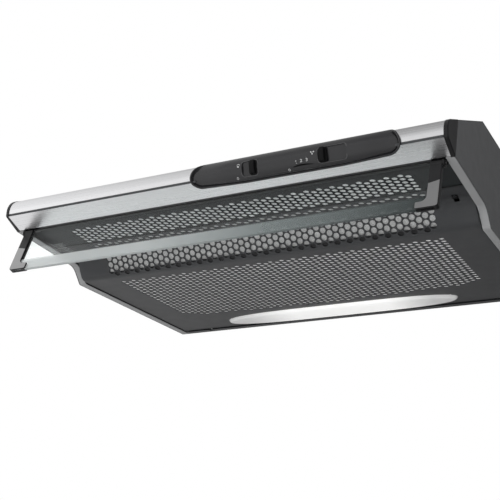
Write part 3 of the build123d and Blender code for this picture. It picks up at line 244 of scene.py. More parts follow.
def mesh_mat(name, color):
    """Layered aluminium mesh: crossing wires that catch the light."""
    s = Shader(name)
    node = s.bsdf(color, 0.35)
    cells = s.add("ShaderNodeTexVoronoi", feature="DISTANCE_TO_EDGE")
    cells.inputs["Scale"].default_value = 420.0
    s.join(s.place((1, 1.6, 1.6)), cells.inputs["Vector"])
    wires = s.ramp(cells.outputs["Distance"], [(0.02, (1, 1, 1)), (0.16, (0.6, 0.6, 0.6))])
    tint = s.add("ShaderNodeMix", data_type="RGBA", blend_type="MULTIPLY")
    tint.inputs[0].default_value = 1.0
    tint.inputs[6].default_value = (*color, 1)
    s.join(wires, tint.inputs[7])
    # painted shade and light: the mat is darkened to about half over the back of the shelf, the riser and
    # the foot, where the sheet shades it, and made a tenth lighter on the flat
    depth = s.span(s.axes()["Y"], -0.36, -0.29)
    share = s.ramp(depth, greys((0.0, 1.0), (0.4, 0.45), (0.9, 0.5), (1.0, 1.1)))
    painted_shade_mix = s.add("ShaderNodeMix", data_type="RGBA", blend_type="MULTIPLY")
    painted_shade_mix.inputs[0].default_value = 1.0
    s.join(tint.outputs[2], painted_shade_mix.inputs[6])
    s.join(share, painted_shade_mix.inputs[7])
    s.join(painted_shade_mix.outputs[2], node.inputs["Base Color"])
    s.bump(wires, node, 0.9, 0.0006)
    return s.material


def zinc(name, color):
    """Zinc plate with faint spangles."""
    s = Shader(name)
    node = s.bsdf(color, 0.35, 1.0)
    cells = s.add("ShaderNodeTexVoronoi")
    cells.inputs["Scale"].default_value = 300.0
    s.join(s.place(), cells.inputs["Vector"])
    s.join(s.spread(cells.outputs["Distance"], 0.25, 0.45), node.inputs["Roughness"])
    s.bump(s.noise(s.place(), 500.0), node, 0.15, 0.0003)
    return s.material


def gloss(name, color):
    """Gloss black moulding with a trace of polishing haze."""
    s = Shader(name)
    node = s.bsdf(color, 0.2, Specular_IOR_Level=0.35, Coat_Weight=0.08, Coat_Roughness=0.08)
    haze = s.noise(s.place(), 45.0, 4.0)
    s.join(s.spread(haze, 0.17, 0.26), node.inputs["Roughness"])
    s.bump(s.noise(s.place(), 700.0, 2.0), node, 0.05, 0.0002)
    return s.material


def visor_glass_mat(name):
    """Clear glass, faintly grey-green, with a frosted band up from its lower edge whose colour is painted
    light: lighter to the left, near black to the right.
    """
    s = Shader(name)
    clear = s.bsdf((0.92, 0.96, 0.955), 0.02, IOR=1.2, Transmission_Weight=1.0)
    frost = s.add("ShaderNodeBsdfPrincipled")
    frost.inputs["Roughness"].default_value = 0.5
    frost.inputs["Specular IOR Level"].default_value = 0.08
    axes = s.axes()
    up = s.add("ShaderNodeMath", operation="MULTIPLY")
    up.inputs[1].default_value = sin(VISOR_LEAN)
    s.join(axes["Y"], up.inputs[0])
    height = s.add("ShaderNodeMath", operation="MULTIPLY_ADD")
    height.inputs[1].default_value = cos(VISOR_LEAN)
    s.join(axes["Z"], height.inputs[0])
    s.join(up.outputs[0], height.inputs[2])
    edge = AXIS_Z * cos(VISOR_LEAN) + AXIS_Y * sin(VISOR_LEAN) + LOW
    band = s.add("ShaderNodeMapRange", interpolation_type="SMOOTHSTEP")
    band.inputs["From Min"].default_value = (edge + FROST_TOP) * 0.001
    band.inputs["From Max"].default_value = (edge + FROST_FULL) * 0.001
    band.inputs["To Max"].default_value = 0.64
    # painted light and shade: the frosted band's colour runs from light grey at the left end to near black
    # at the right, as the light falls
    painted_light_leftward = s.span(axes["X"], 0.28, -0.28)
    frost_painted_light = [
        (0.0, (0.02, 0.025, 0.025)), (0.35, (0.15, 0.17, 0.17)),
        (0.65, (0.38, 0.4, 0.4)), (1.0, (0.42, 0.44, 0.44)),
    ]
    s.join(s.ramp(painted_light_leftward, frost_painted_light), frost.inputs["Base Color"])
    s.join(height.outputs[0], band.inputs["Value"])
    s.join(s.mix(band.outputs[0], clear.outputs[0], frost.outputs[0]), s.out.inputs[0])
    return s.material


def lens_mat(name):
    """Milky lens, lit softly from behind."""
    s = Shader(name)
    node = s.bsdf((0.6, 0.6, 0.6), 0.3)
    glow = s.ramp(
        s.span(s.axes()["X"], -0.19, 0.19),
        greys((0.0, 0.0), (0.12, 0.06), (0.32, 0.42), (0.72, 0.45), (0.9, 0.02), (1.0, 0.0)),
    )
    node.inputs["Emission Color"].default_value = (1, 1, 0.98, 1)
    s.join(glow, node.inputs["Emission Strength"])
    s.bump(s.noise(s.place(), 250.0), node, 0.1, 0.0003)
    return s.material


MATS = {
    "steel_grey": paint("steel_grey", (0.03, 0.031, 0.033), 0.42, 0.06, 0.25),
    "brushed_steel": brushed("brushed_steel", (0.66, 0.66, 0.67), 0.27),
    "black_plastic": paint("black_plastic", (0.006, 0.006, 0.0065), 0.35, 0.1, 0.25),
    "bezel_gloss": gloss("bezel_gloss", (0.012, 0.012, 0.013)),
    "visor_glass": visor_glass_mat("visor_glass"),
    "zinc_steel": zinc("zinc_steel", (0.28, 0.28, 0.28)),
    "filter_mesh": mesh_mat("filter_mesh", (0.92, 0.92, 0.92)),
    "lens_white": lens_mat("lens_white"),
    "lamp_glass": paint("lamp_glass", (0.85, 0.84, 0.8), 0.25, 0.02),
    "impeller_white": paint("impeller_white", (0.7, 0.7, 0.68), 0.45, 0.03),
    "motor_metal": paint("motor_metal", (0.25, 0.25, 0.26), 0.5, 0.15),
    "capacitor_white": paint("capacitor_white", (0.78, 0.78, 0.76), 0.4, 0.03),
}
# painted shade: a darker, less shiny copy of the steel_grey paint, for the strip that lies behind the visor
# glass
STRIP_SHADED_PAINT = paint("strip_shaded_paint", (0.01, 0.012, 0.013), 0.42, 0.06, 0.15)
SIDES = sides_mat("steel_grey_sides")
# painted highlight: the bezel's gloss in a lighter grey, so that the beads round the pockets read whitish
BEAD_PAINTED_HIGHLIGHT = gloss("bezel_bead", (0.05, 0.05, 0.052))
KNOB = paint("knob_black", (0.003, 0.003, 0.0032), 0.5, 0.1, 0.1)
INK_BLACK = paint("ink_black", (0.001, 0.001, 0.001), 0.6, 0.1, 0.05)
SLOT_OF = {s["node"]: s["material_slot"] for s in frame["record"]["subparts"]}
for node_name, node in NODES.items():
    node.data.materials.clear()
    material = MATS[SLOT_OF[node_name]]
    if node_name.startswith("side_panel"):
        material = SIDES
    if node_name.startswith(("visor_pin", "visor_bracket")):
        material = MATS["black_plastic"]
    node.data.materials.append(material)


# mesh helpers
def declare(thing, body, replaced):
    """Says which body a piece rides on and the nodes that it replaces."""
    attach(thing, body)
    if replaced:
        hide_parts(*replaced)
    return thing


def piece(name, verts, faces, slot, body, replaced=(), sharp=30.0, material=None):
    """A mesh piece from millimetre points, riding on a body."""
    mesh = bpy.data.meshes.new(name)
    mesh.from_pydata([tuple(c * 0.001 for c in v) for v in verts], [], faces)
    mesh.update()
    mesh.shade_smooth()
    mesh.set_sharp_from_angle(angle=radians(sharp))
    thing = bpy.data.objects.new(name, mesh)
    bpy.context.scene.collection.objects.link(thing)
    mesh.materials.append(material or MATS[slot])
    return declare(thing, body, replaced)


def corner_arc(a, b, c, radius, steps):
    """The arc that rounds the corner at b, and how far from b it starts and ends."""
    u = (a - b) / np.linalg.norm(a - b)
    v = (c - b) / np.linalg.norm(c - b)
    half = acos(max(-1, min(1, float(u @ v)))) / 2
    if radius <= 0 or half > pi / 2 - 1e-4:
        return [tuple(b)], 0.0
    reach = radius / tan(half)
    centre = b + (u + v) / np.linalg.norm(u + v) * radius / sin(half)
    start, end = b + u * reach - centre, b + v * reach - centre
    turn = pi - 2 * half
    points = []
    for k in range(steps + 1):
        t = k / steps
        points.append(tuple(centre + (start * sin((1 - t) * turn) + end * sin(t * turn)) / sin(turn)))
    return points, reach


def rounded(corners, radii, steps=8):
    """A closed outline with rounded corners."""
    points = []
    n = len(corners)
    for i in range(n):
        a, b, c = (np.array(corners[(i + k) % n], float) for k in (-1, 0, 1))
        points += corner_arc(a, b, c, radii[i], steps)[0]
    return points


def bent_line(corners, radii, steps=8):
    """Points of a bent line, with each point's length along the sharp corners."""
    points = [corners[0]]
    lengths = [0.0]
    along = 0.0
    for index in range(1, len(corners) - 1):
        a, b, c = (np.array(corners[index + k]) for k in (-1, 0, 1))
        along += np.linalg.norm(a - b)
        arc, reach = corner_arc(a, b, c, radii[index - 1], steps)
        points += arc
        lengths += list(np.linspace(along - reach, along + reach, len(arc)))
    along += hypot(corners[-1][0] - corners[-2][0], corners[-1][1] - corners[-2][1])
    points.append(corners[-1])
    lengths.append(along)
    return np.array(points), np.array(lengths)


class Folded:
    """A folded sheet's outer face: maps (length along it, depth inside it) to Y and Z."""

    def __init__(self, corners, radii):
        self.points, self.lengths = bent_line(corners, radii)
        steps = np.diff(self.points, axis=0)
        steps /= np.linalg.norm(steps, axis=1)[:, None]
        inward = np.stack([-steps[:, 1], steps[:, 0]], 1)
        first = np.vstack([inward[:1], inward])
        last = np.vstack([inward, inward[-1:]])
        mean = first + last
        self.inward = mean / np.linalg.norm(mean, axis=1)[:, None]

    def at(self, s, depth=0.0):
        y = np.interp(s, self.lengths, self.points[:, 0])
        z = np.interp(s, self.lengths, self.points[:, 1])
        a = np.interp(s, self.lengths, self.inward[:, 0])
        b = np.interp(s, self.lengths, self.inward[:, 1])
        return y + a * depth, z + b * depth


def open_edges(faces):
    """The edges of faces that have no face on their other side."""
    edges = set()
    for face in faces:
        for a, b in zip(face, face[1:] + face[:1]):
            edges.add((a, b))
    return [(a, b) for a, b in edges if (b, a) not in edges]


def thick_sheet(name, grid, place, outer, inner, slot, body, replaced=()):
    """A sheet of two layers, joined along every open edge and round every hole."""
    uv, faces = grid
    count = len(uv)
    verts = [place(x, s, layer) for layer in (outer, inner) for x, s in uv]
    walls = [(b, a, a + count, b + count) for a, b in open_edges(faces)]
    back = [tuple(i + count for i in reversed(face)) for face in faces]
    return piece(name, verts, faces + back + walls, slot, body, replaced)


def perforated(xs, ss, holes=(), skipped=()):
    """Grid faces over columns and lines, with a round hole over each pair of cells named."""
    uv = [(x, s) for s in ss for x in xs]
    wide = len(xs)
    faces = []
    used = set()
    spokes = 12                          # two for each of the six points of the rim
    for (c, i), radius in dict(holes).items():
        used |= {(c, i - 1), (c, i)}
        cx, cy = (xs[c] + xs[c + 1]) / 2, ss[i]
        ring = [len(uv) + k for k in range(spokes)]
        for k in range(spokes):
            angle = 2 * pi * (k + 0.5) / spokes
            uv.append((cx + radius * cos(angle), cy + radius * sin(angle)))
        rim = [(c + 1, i), (c + 1, i + 1), (c, i + 1), (c, i), (c, i - 1), (c + 1, i - 1)]
        rim = [b * wide + a for a, b in rim]
        # a quad from each side of the rim to the ring, and a triangle at each corner
        for k in range(6):
            a, b, after = 2 * k, 2 * k + 1, (2 * k + 2) % spokes
            faces.append((rim[k], rim[(k + 1) % 6], ring[b], ring[a]))
            faces.append((rim[(k + 1) % 6], ring[after], ring[b]))
    for i in range(len(ss) - 1):
        for c in range(wide - 1):
            if (c, i) in used or (c, i) in skipped:
                continue
            a = i * wide + c
            faces.append((a, a + 1, a + 1 + wide, a + wide))
    return uv, faces


# the grille door
LENS_LONG, LENS_WIDE, LENS_Y = 186.0, 25.0, -42.5      # half sizes, and the depth of the middle


def lens_outline(grow, count):
    points = []
    for k in range(count):
        a = 2 * pi * k / count
        bow = copysign(abs(sin(a)) ** 0.5, sin(a))
        points.append(((LENS_LONG + grow) * bow, LENS_Y + (LENS_WIDE + grow) * cos(a)))
    return points


def inside_lens(x, y, grow):
    share = min(1.0, abs(x) / (LENS_LONG + grow))
    return abs(y - LENS_Y) < (LENS_WIDE + grow) * sqrt(max(0.0, 1 - share ** 4))


door_path = Folded(DOOR_LINE, DOOR_BENDS)
RISE = hypot(RISER_FOOT_Y - RISER_TOP_Y, SHELF_Z - FLAT_Z)
FOOT_S = DOOR_LIP - DOOR_FRONT + RISER_TOP_Y + RISE
SLOT_S = DOOR_LIP - DOOR_FRONT - 331.3   # where the latch slots start
SLOT_END = SLOT_S + 14.6
SLOT_REACH = 1.4                         # and how much further they reach, so that the nubs can slide
SLOT_IN, SLOT_OUT = 263.85, 270.15       # their sides
MARGIN_X = 250.0                         # the filter mats end here, and no hole lies beyond it
shelf_rows = [FIRST_ROW + STRIP_ROW * k + STRIP_FRONT - DOOR_FRONT + DOOR_LIP for k in (12, 13, 14)]
door_s = [1.0, 5.0, 8.8, 9.2, 9.6, 10.0, 10.4, 10.8, 11.2, shelf_rows[0] - STRIP_ROW] + shelf_rows
door_s += [shelf_rows[-1] + STRIP_ROW, SLOT_S, 36.0, 40.0, 44.0, SLOT_END]
riser_rows = sorted(FOOT_S - 2.4 - RISER_ROW * k for k in range(7))
door_s += riser_rows
door_s += [FOOT_S + 1.6, FOOT_S + 4.2, FOOT_S + 7.8, FOOT_S + 12.0, FOOT_S + 17.5]
first_row = FOOT_S - RISER_FOOT_Y - 272.0
door_s.append(first_row - ROW)
flat_rows = [first_row + ROW * k for k in range(43)]
door_s += flat_rows
last = flat_rows[-1]
rear_s = FOOT_S - RISER_FOOT_Y + DOOR_REAR
while last + ROW < rear_s - 2:
    last += ROW
    door_s.append(last)
door_s += [rear_s + step for step in (-1.2, -0.8, -0.4, 0.0, 0.4, 0.8, 1.2, 9.0)]

mid_x = [(k - HOLES / 2) * COLUMN for k in range(HOLES + 1)]
side_x = [246.0, 255.0, SLOT_IN, SLOT_OUT, 278.5, 286.0]
# beyond the half width each small step in X stands for one round the bend and then up the side's lip
CURL, BEND_STEPS, LIP_STEPS, SIDE_LIP = 0.1, 6, 5, 8.4
side_x += [DOOR_HALF + CURL * k for k in range(1, BEND_STEPS + LIP_STEPS + 1)]
door_x = [-x for x in reversed(side_x)] + mid_x + side_x
FIRST = len(side_x)


def door_place(x, s, layer):
    """A point of the door: X from the bend at its side, the rest from the folded line."""
    size = abs(x)
    if size > MARGIN_X and s == SLOT_END:
        s += SLOT_REACH
    depth = layer
    if size > DOOR_HALF:
        step = round((size - DOOR_HALF) / CURL)
        if step <= BEND_STEPS:
            turn = pi / 2 * step / BEND_STEPS
            size = DOOR_HALF - EDGE_BEND + (EDGE_BEND - layer) * sin(turn)
            depth = EDGE_BEND - (EDGE_BEND - layer) * cos(turn)
        else:
            depth = EDGE_BEND + (step - BEND_STEPS) / LIP_STEPS * SIDE_LIP
            size = DOOR_HALF - layer
    y, z = door_path.at(s, depth)
    return (copysign(size, x), float(y), float(z))


def staggered(rows, lines, first, radius):
    """Holes for rows at some of a sheet's lines, with every second place left out in turn."""
    holes = {}
    for row, s in enumerate(rows):
        for k in range(HOLES):
            if (k - MIDDLE) % 2 != row % 2:
                holes[(first + k, lines.index(s))] = radius
    return holes


door_holes = staggered(reversed(riser_rows), door_s, FIRST, RISER_HOLE)
door_holes.update(staggered(shelf_rows[:2], door_s, FIRST, SHELF_HOLE))
for row, s in enumerate(flat_rows):
    i = door_s.index(s)
    y = RISER_FOOT_Y + (s - FOOT_S)
    for k in range(HOLES):
        x = (k - MIDDLE) * COLUMN
        limit = np.interp(abs(x), [0, 80, 200, 216, 233], [-80, -82, -90, -94, -101])
        if (k - MIDDLE) % 2 == row % 2 and y <= limit:
            door_holes[(FIRST + k, i)] = FLAT_HOLE
door_skips = set()
for i in range(len(door_s) - 1):
    s = (door_s[i] + door_s[i + 1]) / 2
    y = RISER_FOOT_Y + (s - FOOT_S)
    for c in range(len(door_x) - 1):
        x = (door_x[c] + door_x[c + 1]) / 2
        if s > FOOT_S and inside_lens(x, y, -3.0):
            door_skips.add((c, i))
        if abs(x) > DOOR_HALF - EDGE_BEND and (s < DOOR_LIP + EDGE_BEND or s > rear_s - EDGE_BEND):
            door_skips.add((c, i))
        if SLOT_IN < abs(x) < SLOT_OUT and SLOT_S < s < SLOT_END:
            door_skips.add((c, i))
grid = perforated(door_x, door_s, door_holes, door_skips)
thick_sheet("Door", grid, door_place, 0.0, SHEET, "steel_grey", "door", ["grille_door"])


# the filter mat over the sheet, drawn in at the foot, where a black strip behind the holes paints the shade
# there
mat_path = Folded(DOOR_LINE[1:5], [19.0, 30.0])
mat_s = [12.0 + 4.0 * k for k in range(74)]
mat_end = float(np.interp(-80.0, mat_path.points[:, 0], mat_path.lengths))
mat_s = [s - DOOR_LIP for s in mat_s if s - DOOR_LIP < mat_end - 2] + [mat_end]
mat_x = [MARGIN_X * (k / 30 - 1) for k in range(61)]


def mat_place(x, s, layer):
    y, z = mat_path.at(s, layer)
    return (x, float(y), float(z))


grid = perforated(mat_x, mat_s)
thick_sheet("Filter", grid, mat_place, 0.95, 3.95, "filter_mesh", "door", ["grease_filter"])
# painted shade: a black strip behind the holes at the foot of the riser, where the mat is drawn away from
# the sheet and lies in shade
grid = perforated([-MARGIN_X, 0.0, MARGIN_X], [FOOT_S - 5.5 + k for k in range(12)])
thick_sheet("Filter_shade_strip", grid, door_place, 1.0, 1.8, "black_plastic", "door")


# the fixed strip behind the visor
STRIP_END = 72.2                         # its length along the slope
STRIP_Z, STRIP_TILT = 36.6, atan2(5.6, 80.0)      # its front edge, and how it falls towards the door
strip_s = [0.0, 6.0, 14.0, 20.0]
rows = [FIRST_ROW + STRIP_ROW * k for k in range(10)]
strip_s += [rows[0] - STRIP_ROW] + rows + [STRIP_END]
strip_edge = [246.0, 262.0, 278.0, STRIP_HALF]
strip_x = [-x for x in reversed(strip_edge)] + mid_x + strip_edge
strip_holes = staggered(rows, strip_s, len(strip_edge), STRIP_HOLE)


def strip_place(x, s, layer):
    y = STRIP_FRONT + s * cos(STRIP_TILT) + layer * sin(STRIP_TILT)
    return (x, y, STRIP_Z - s * sin(STRIP_TILT) + layer * cos(STRIP_TILT))


grid = perforated(strip_x, strip_s, strip_holes)
strip = thick_sheet("Strip", grid, strip_place, 0.0, SHEET, "steel_grey", "hood", ["front_grille"])
# the strip takes the darker copy of the paint, as painted shade
strip.data.materials[0] = STRIP_SHADED_PAINT
grid = perforated(mat_x, [21.0 + 3.0 * k for k in range(18)])
thick_sheet("Strip_filter", grid, strip_place, 1.2, 3.6, "filter_mesh", "hood")


# solids from outlines
def prism(name, outline, near, far, place, bevel=0.0, steps=3):
    """A closed object: an outline pushed between two depths, its edges rounded."""
    verts = [place(a, b, near) for a, b in outline] + [place(a, b, far) for a, b in outline]
    n = len(outline)
    faces = [tuple(range(n)), tuple(range(2 * n - 1, n - 1, -1))]
    faces += [(i, i + n, (i + 1) % n + n, (i + 1) % n) for i in range(n)]
    mesh = bpy.data.meshes.new(name)
    mesh.from_pydata([tuple(c * 0.001 for c in v) for v in verts], [], faces)
    bm = bmesh.new()
    bm.from_mesh(mesh)
    bmesh.ops.recalc_face_normals(bm, faces=bm.faces)
    if bevel:
        edges = [e for e in bm.edges if e.calc_face_angle(0) > radians(25)]
        bmesh.ops.bevel(
            bm, geom=edges, offset=bevel * 0.001, segments=steps, profile=0.5,
            affect="EDGES", clamp_overlap=True,
        )
    bm.to_mesh(mesh)
    bm.free()
    thing = bpy.data.objects.new(name, mesh)
    bpy.context.scene.collection.objects.link(thing)
    return thing


def solid(
    name, outline, near, far, place, slot, body, replaced=(), bevel=0.0, steps=3, sharp=35.0, material=None,
):
    """A prism as a piece that rides on a body."""
    thing = prism(name, outline, near, far, place, bevel, steps)
    thing.data.shade_smooth()
    thing.data.set_sharp_from_angle(angle=radians(sharp))
    thing.data.materials.append(material or MATS[slot])
    if bevel:
        even = thing.modifiers.new("even", "WEIGHTED_NORMAL")
        even.keep_sharp = True
    return declare(thing, body, replaced)


def along_x(a, b, c):
    """An outline in Y and Z, pushed along X."""
    return (c, a, b)


def cut(thing, cutters):
    """Cuts a piece with prisms and removes them."""
    for cutter in cutters:
        modifier = thing.modifiers.new("cut", "BOOLEAN")
        modifier.operation = "DIFFERENCE"
        modifier.solver = "EXACT"
        modifier.object = cutter
    graph = bpy.context.evaluated_depsgraph_get()
    made = bpy.data.meshes.new_from_object(thing.evaluated_get(graph))
    thing.modifiers.clear()
    thing.data = made
    for cutter in cutters:
        bpy.data.objects.remove(cutter)
    made.shade_smooth()
    made.set_sharp_from_angle(angle=radians(30))
    return thing


# a black strip in the joint between the strip and the door, which darkens the joint and hides the door's
# front lip
joint = (STRIP_FRONT + STRIP_END * cos(STRIP_TILT) + DOOR_FRONT) / 2
joint_strip_outline = [(-288, -2.6), (-242, -2.6), (-238, -0.7), (238, -0.7), (242, -2.6), (288, -2.6)]
joint_strip_outline += [(x, -y * 0.6) for x, y in reversed(joint_strip_outline)]
solid(
    "Joint_dark_strip", joint_strip_outline, SHELF_Z, SHELF_Z + 2.4, lambda a, b, c: (a, joint + b, c),
    "black_plastic", "hood", (), 0.2, 2,
)


# the control insert's outline
MID_X, HALF_LONG = 115.5, 131.5
TOP_Z, END_Z, SHOULDER_Z, LOW_Z = CREASE_Z + 31.5, CREASE_Z + 2.0, CREASE_Z - 7.6, CREASE_Z - 8.5
END_UP, END_DOWN = 25.0, 15.0            # how far each end's curve reaches in, above and below


def bezel_outline(inset=0.0, steps=10):
    """The insert from the front, in X and Z, going round from the top left."""
    end = [(-HALF_LONG + END_UP, TOP_Z)]
    for k in range(4 * steps + 1):
        a = radians(88 - 178 * k / (4 * steps))
        wide, high = (END_UP, ARCH_Z + ARCH_R - END_Z) if a > 0 else (END_DOWN, END_Z - SHOULDER_Z)
        end.append((-HALF_LONG + wide * (1 - cos(a)), END_Z + high * sin(a)))
    end.append((-HALF_LONG + 70, LOW_Z))
    points = np.array([(x + MID_X, z) for x, z in end + [(-x, z) for x, z in reversed(end)]])
    if inset:
        ahead = np.roll(points, -1, 0) - np.roll(points, 1, 0)
        ahead /= np.linalg.norm(ahead, axis=1)[:, None]
        points = points + np.stack([-ahead[:, 1], ahead[:, 0]], 1) * inset
    return [tuple(p) for p in points]


# the brushed rail
top = (RAIL_TOP_Y, RAIL_TOP)
brow = (NOSE_Y, CANOPY_TOP - SLOPE * (CANOPY_Y - NOSE_Y))
crease = (NOSE_Y, CREASE_Z)
low = (SPLIT_Y, SPLIT_Z)
RAIL_LINE = [(top[0] - 8 * LEAN, top[1] - 8), top, brow, crease, low, (low[0] + 8 * LEAN, low[1] + 8)]
GROOVE_Z = CREASE_Z + 1.0
GROOVE_R, GROOVE_REACH = 1.7, 1.9


def with_groove(points):
    """The line with the half-round groove let into the nose above the crease."""
    made = []
    done = False
    for y, z in points:
        if abs(y - NOSE_Y) < 1e-6 and z < GROOVE_Z + GROOVE_REACH and not done:
            for k in range(9):
                a = radians(80 - 20 * k)
                made.append((NOSE_Y - 0.3 + GROOVE_R * cos(a), GROOVE_Z + GROOVE_R * sin(a)))
            done = True
        if not (abs(y - NOSE_Y) < 0.3 and abs(z - GROOVE_Z) < GROOVE_REACH):
            made.append((y, z))
    return made


outer_line, _ = bent_line(RAIL_LINE, [1.5, 22.0, 0.3, 1.5], 14)
outer_line = with_groove([tuple(p) for p in outer_line])
inner_path = Folded(RAIL_LINE, [1.5, 22.0, 3.0, 1.5])
inner_line = [tuple(float(c) for c in inner_path.at(s, 1.9)) for s in reversed(inner_path.lengths)]
rail = solid(
    "Rail", outer_line + inner_line, -RAIL_HALF, RAIL_HALF, along_x,
    "brushed_steel", "hood", ["front_rail"],
)
# dark strips laid in the groove, on each side of the control insert, which darken its line
line = [(NOSE_Y + y, GROOVE_Z + z) for y, z in ((0.5, -1.5), (1.3, -1.2), (1.3, 1.2), (0.5, 1.5))]
for side, (low_x, high_x) in {"left": (-RAIL_HALF + 0.5, -9.0), "right": (240.0, RAIL_HALF - 0.5)}.items():
    solid("Groove_" + side, line, low_x, high_x, along_x, "steel_grey", "hood")
cut(rail, [prism("cutter", bezel_outline(2.6), ARCH_Y, -490.0, lambda a, b, c: (a, c, b))])


# the control insert
def on_arch(x, turn, radius):
    """A point at an angle up the arch from its foremost line."""
    return (x, ARCH_Y - radius * cos(turn), ARCH_Z + radius * sin(turn))


def arch_y(z, radius):
    return ARCH_Y - sqrt(max(0.0, radius ** 2 - (z - ARCH_Z) ** 2))


def into_arch(a, b, c):
    """An outline in X and Z, pushed out to a radius of the arch."""
    return (a, arch_y(b, c), b)


ARCH_TOP = ARCH_R * pi / 2               # length along the arch to its top


def u_line():
    """The insert's edge from its top left, down the end, along the bottom and up again,
    in X and length along the arch."""
    line = []
    for x, z in bezel_outline(0.0, 24):
        if z < ARCH_Z + ARCH_R - 0.02:
            line.append((x, ARCH_R * asin(max(-1.0, (z - ARCH_Z) / ARCH_R))))
    return np.array([(line[0][0], ARCH_TOP), *line, (line[-1][0], ARCH_TOP)])


def lengths_along(line):
    """How far along a line each of its points lies."""
    return np.concatenate([[0], np.cumsum(np.linalg.norm(np.diff(line, axis=0), axis=1))])


def resample(line, count, low=0.0, high=1.0):
    """Even points along the part of a line between two shares of its length."""
    along = lengths_along(line)
    want = np.linspace(low, high, count) * along[-1]
    return np.stack([np.interp(want, along, line[:, k]) for k in (0, 1)], 1)


edge_line = u_line()
END_N, LOW_N = 26, 120                   # points up each end and along the bottom
corner = 30.0 / lengths_along(edge_line)[-1]
edge_line = np.vstack([
    resample(edge_line, END_N, 0, corner)[:-1],
    resample(edge_line, LOW_N, corner, 1 - corner)[:-1],
    resample(edge_line, END_N, 1 - corner, 1),
])


def inset_line(line, distance):
    ahead = np.gradient(line, axis=0)
    ahead /= np.linalg.norm(ahead, axis=1)[:, None]
    moved = line + np.stack([-ahead[:, 1], ahead[:, 0]], 1) * distance
    moved[0][1] = moved[-1][1] = ARCH_TOP
    return moved


BACK_R, WALL_R, FACE_R = 12.8, 16.9, 16.7
RIM_WIDTH, DIP, DIP_REACH = 4.4, 1.8, 46.0
# distance in from the edge, and radius on the arch: wall, rounded rim, groove, face
RIM = [
    (0.0, BACK_R), (0.0, WALL_R), (0.06, 17.3), (0.22, 17.62), (0.5, 17.84), (0.9, 17.9), (1.5, 17.9),
    (1.8, 17.84), (2.05, 17.66), (2.2, 17.4), (2.26, 17.0), (2.32, 15.6),
    (2.8, 15.2), (3.3, 15.4), (3.4, 16.2), (3.55, 16.55), (3.9, 16.68), (RIM_WIDTH, FACE_R),
]


def smooth(t):
    """0 below 0, 1 above 1 and a smooth curve between them."""
    t = min(1.0, max(0.0, t))
    return t * t * (3 - 2 * t)


def face_dip(x):
    """How much the face falls back towards the insert's two ends."""
    return DIP * (1 - smooth((HALF_LONG - RIM_WIDTH - abs(x - MID_X)) / DIP_REACH))


def low_share(a):
    """1 on the face's lower part, falling to 0 below the top edge, where the rim runs out."""
    return smooth((ARCH_TOP - a - 9.0) / 12.0)


def rim_point(x, a, distance, radius):
    """A point of the rim's profile; the profile fades towards the top and dips with the face."""
    dip = max(0.0, min(1.0, distance - 2.2))
    if radius > WALL_R or dip:
        radius = WALL_R + (radius - WALL_R - dip * face_dip(x)) * low_share(a)
    return (x, a, radius)


verts = []
index = []
for distance, radius in RIM:
    loop = [rim_point(x, a, distance, radius) for x, a in inset_line(edge_line, distance)]
    index.append(list(range(len(verts), len(verts) + len(loop))))
    verts += loop
faces = []
for low_loop, high_loop in zip(index, index[1:]):
    for i in range(len(low_loop) - 1):
        faces.append((low_loop[i], low_loop[i + 1], high_loop[i + 1], high_loop[i]))
inner = index[-1]
left_ids = inner[:END_N]
low_ids = inner[END_N - 1:END_N - 1 + LOW_N]
right_ids = inner[END_N + LOW_N - 2:][::-1]


def flat_point(vertex):
    return np.array(verts[vertex][:2])


# the face between them, its points blended from its four sides
tl, tr, bl, br = (flat_point(ids[k]) for k in (0, -1) for ids in (left_ids, right_ids))
grid = [left_ids]
for c in range(1, LOW_N - 1):
    u = c / (LOW_N - 1)
    column = []
    for r in range(END_N):
        v = r / (END_N - 1)
        if r == END_N - 1:
            column.append(low_ids[c])
            continue
        top_point = tl * (1 - u) + tr * u
        spot = (1 - v) * top_point + v * flat_point(low_ids[c])
        spot += (1 - u) * flat_point(left_ids[r]) + u * flat_point(right_ids[r])
        spot -= (1 - u) * (1 - v) * tl + u * (1 - v) * tr + (1 - u) * v * bl + u * v * br
        column.append(len(verts))
        dip = WALL_R - FACE_R + face_dip(spot[0])
        verts.append((spot[0], spot[1], WALL_R - dip * low_share(spot[1])))
    grid.append(column)
grid.append(right_ids)
for a, b in zip(grid, grid[1:]):
    for r in range(END_N - 1):
        faces.append((a[r], a[r + 1], b[r + 1], b[r]))
# the back, straight across behind the face
count = len(verts)
verts += [(x, a, BACK_R) for x, a, _ in verts]
closing = [tuple(i + count for i in reversed(face)) for face in faces]
closing += [(b, a, a + count, b + count) for a, b in open_edges(faces)]
points = [on_arch(x, a / ARCH_R, radius) for x, a, radius in verts]
bezel = piece("Bezel", points, faces + closing, "bezel_gloss", "hood", ["control_bezel"], 40.0)
weld = bmesh.new()
weld.from_mesh(bezel.data)
bmesh.ops.remove_doubles(weld, verts=weld.verts, dist=2e-6)
bmesh.ops.dissolve_degenerate(weld, dist=1e-6, edges=weld.edges)
bmesh.ops.recalc_face_normals(weld, faces=weld.faces)
weld.to_mesh(bezel.data)
weld.free()

# each slider's pocket: its left side and its width
POCKETS = {"light": (54.0, 20.0), "speed": (150.0, 34.0)}
POCKET_LOW, POCKET_HIGH, FLOOR_R = CREASE_Z - 3.0, CREASE_Z + 13.5, 15.3
BEAD_HALF, BEAD_RISE = 0.5, 0.35


def pocket_outline(x_low, width, grow=0.0, radius=3.0):
    a, b = x_low - grow, x_low + width + grow
    c, d = POCKET_LOW - grow, POCKET_HIGH + grow
    return rounded([(a, c), (b, c), (b, d), (a, d)], [radius + grow] * 4, 8)


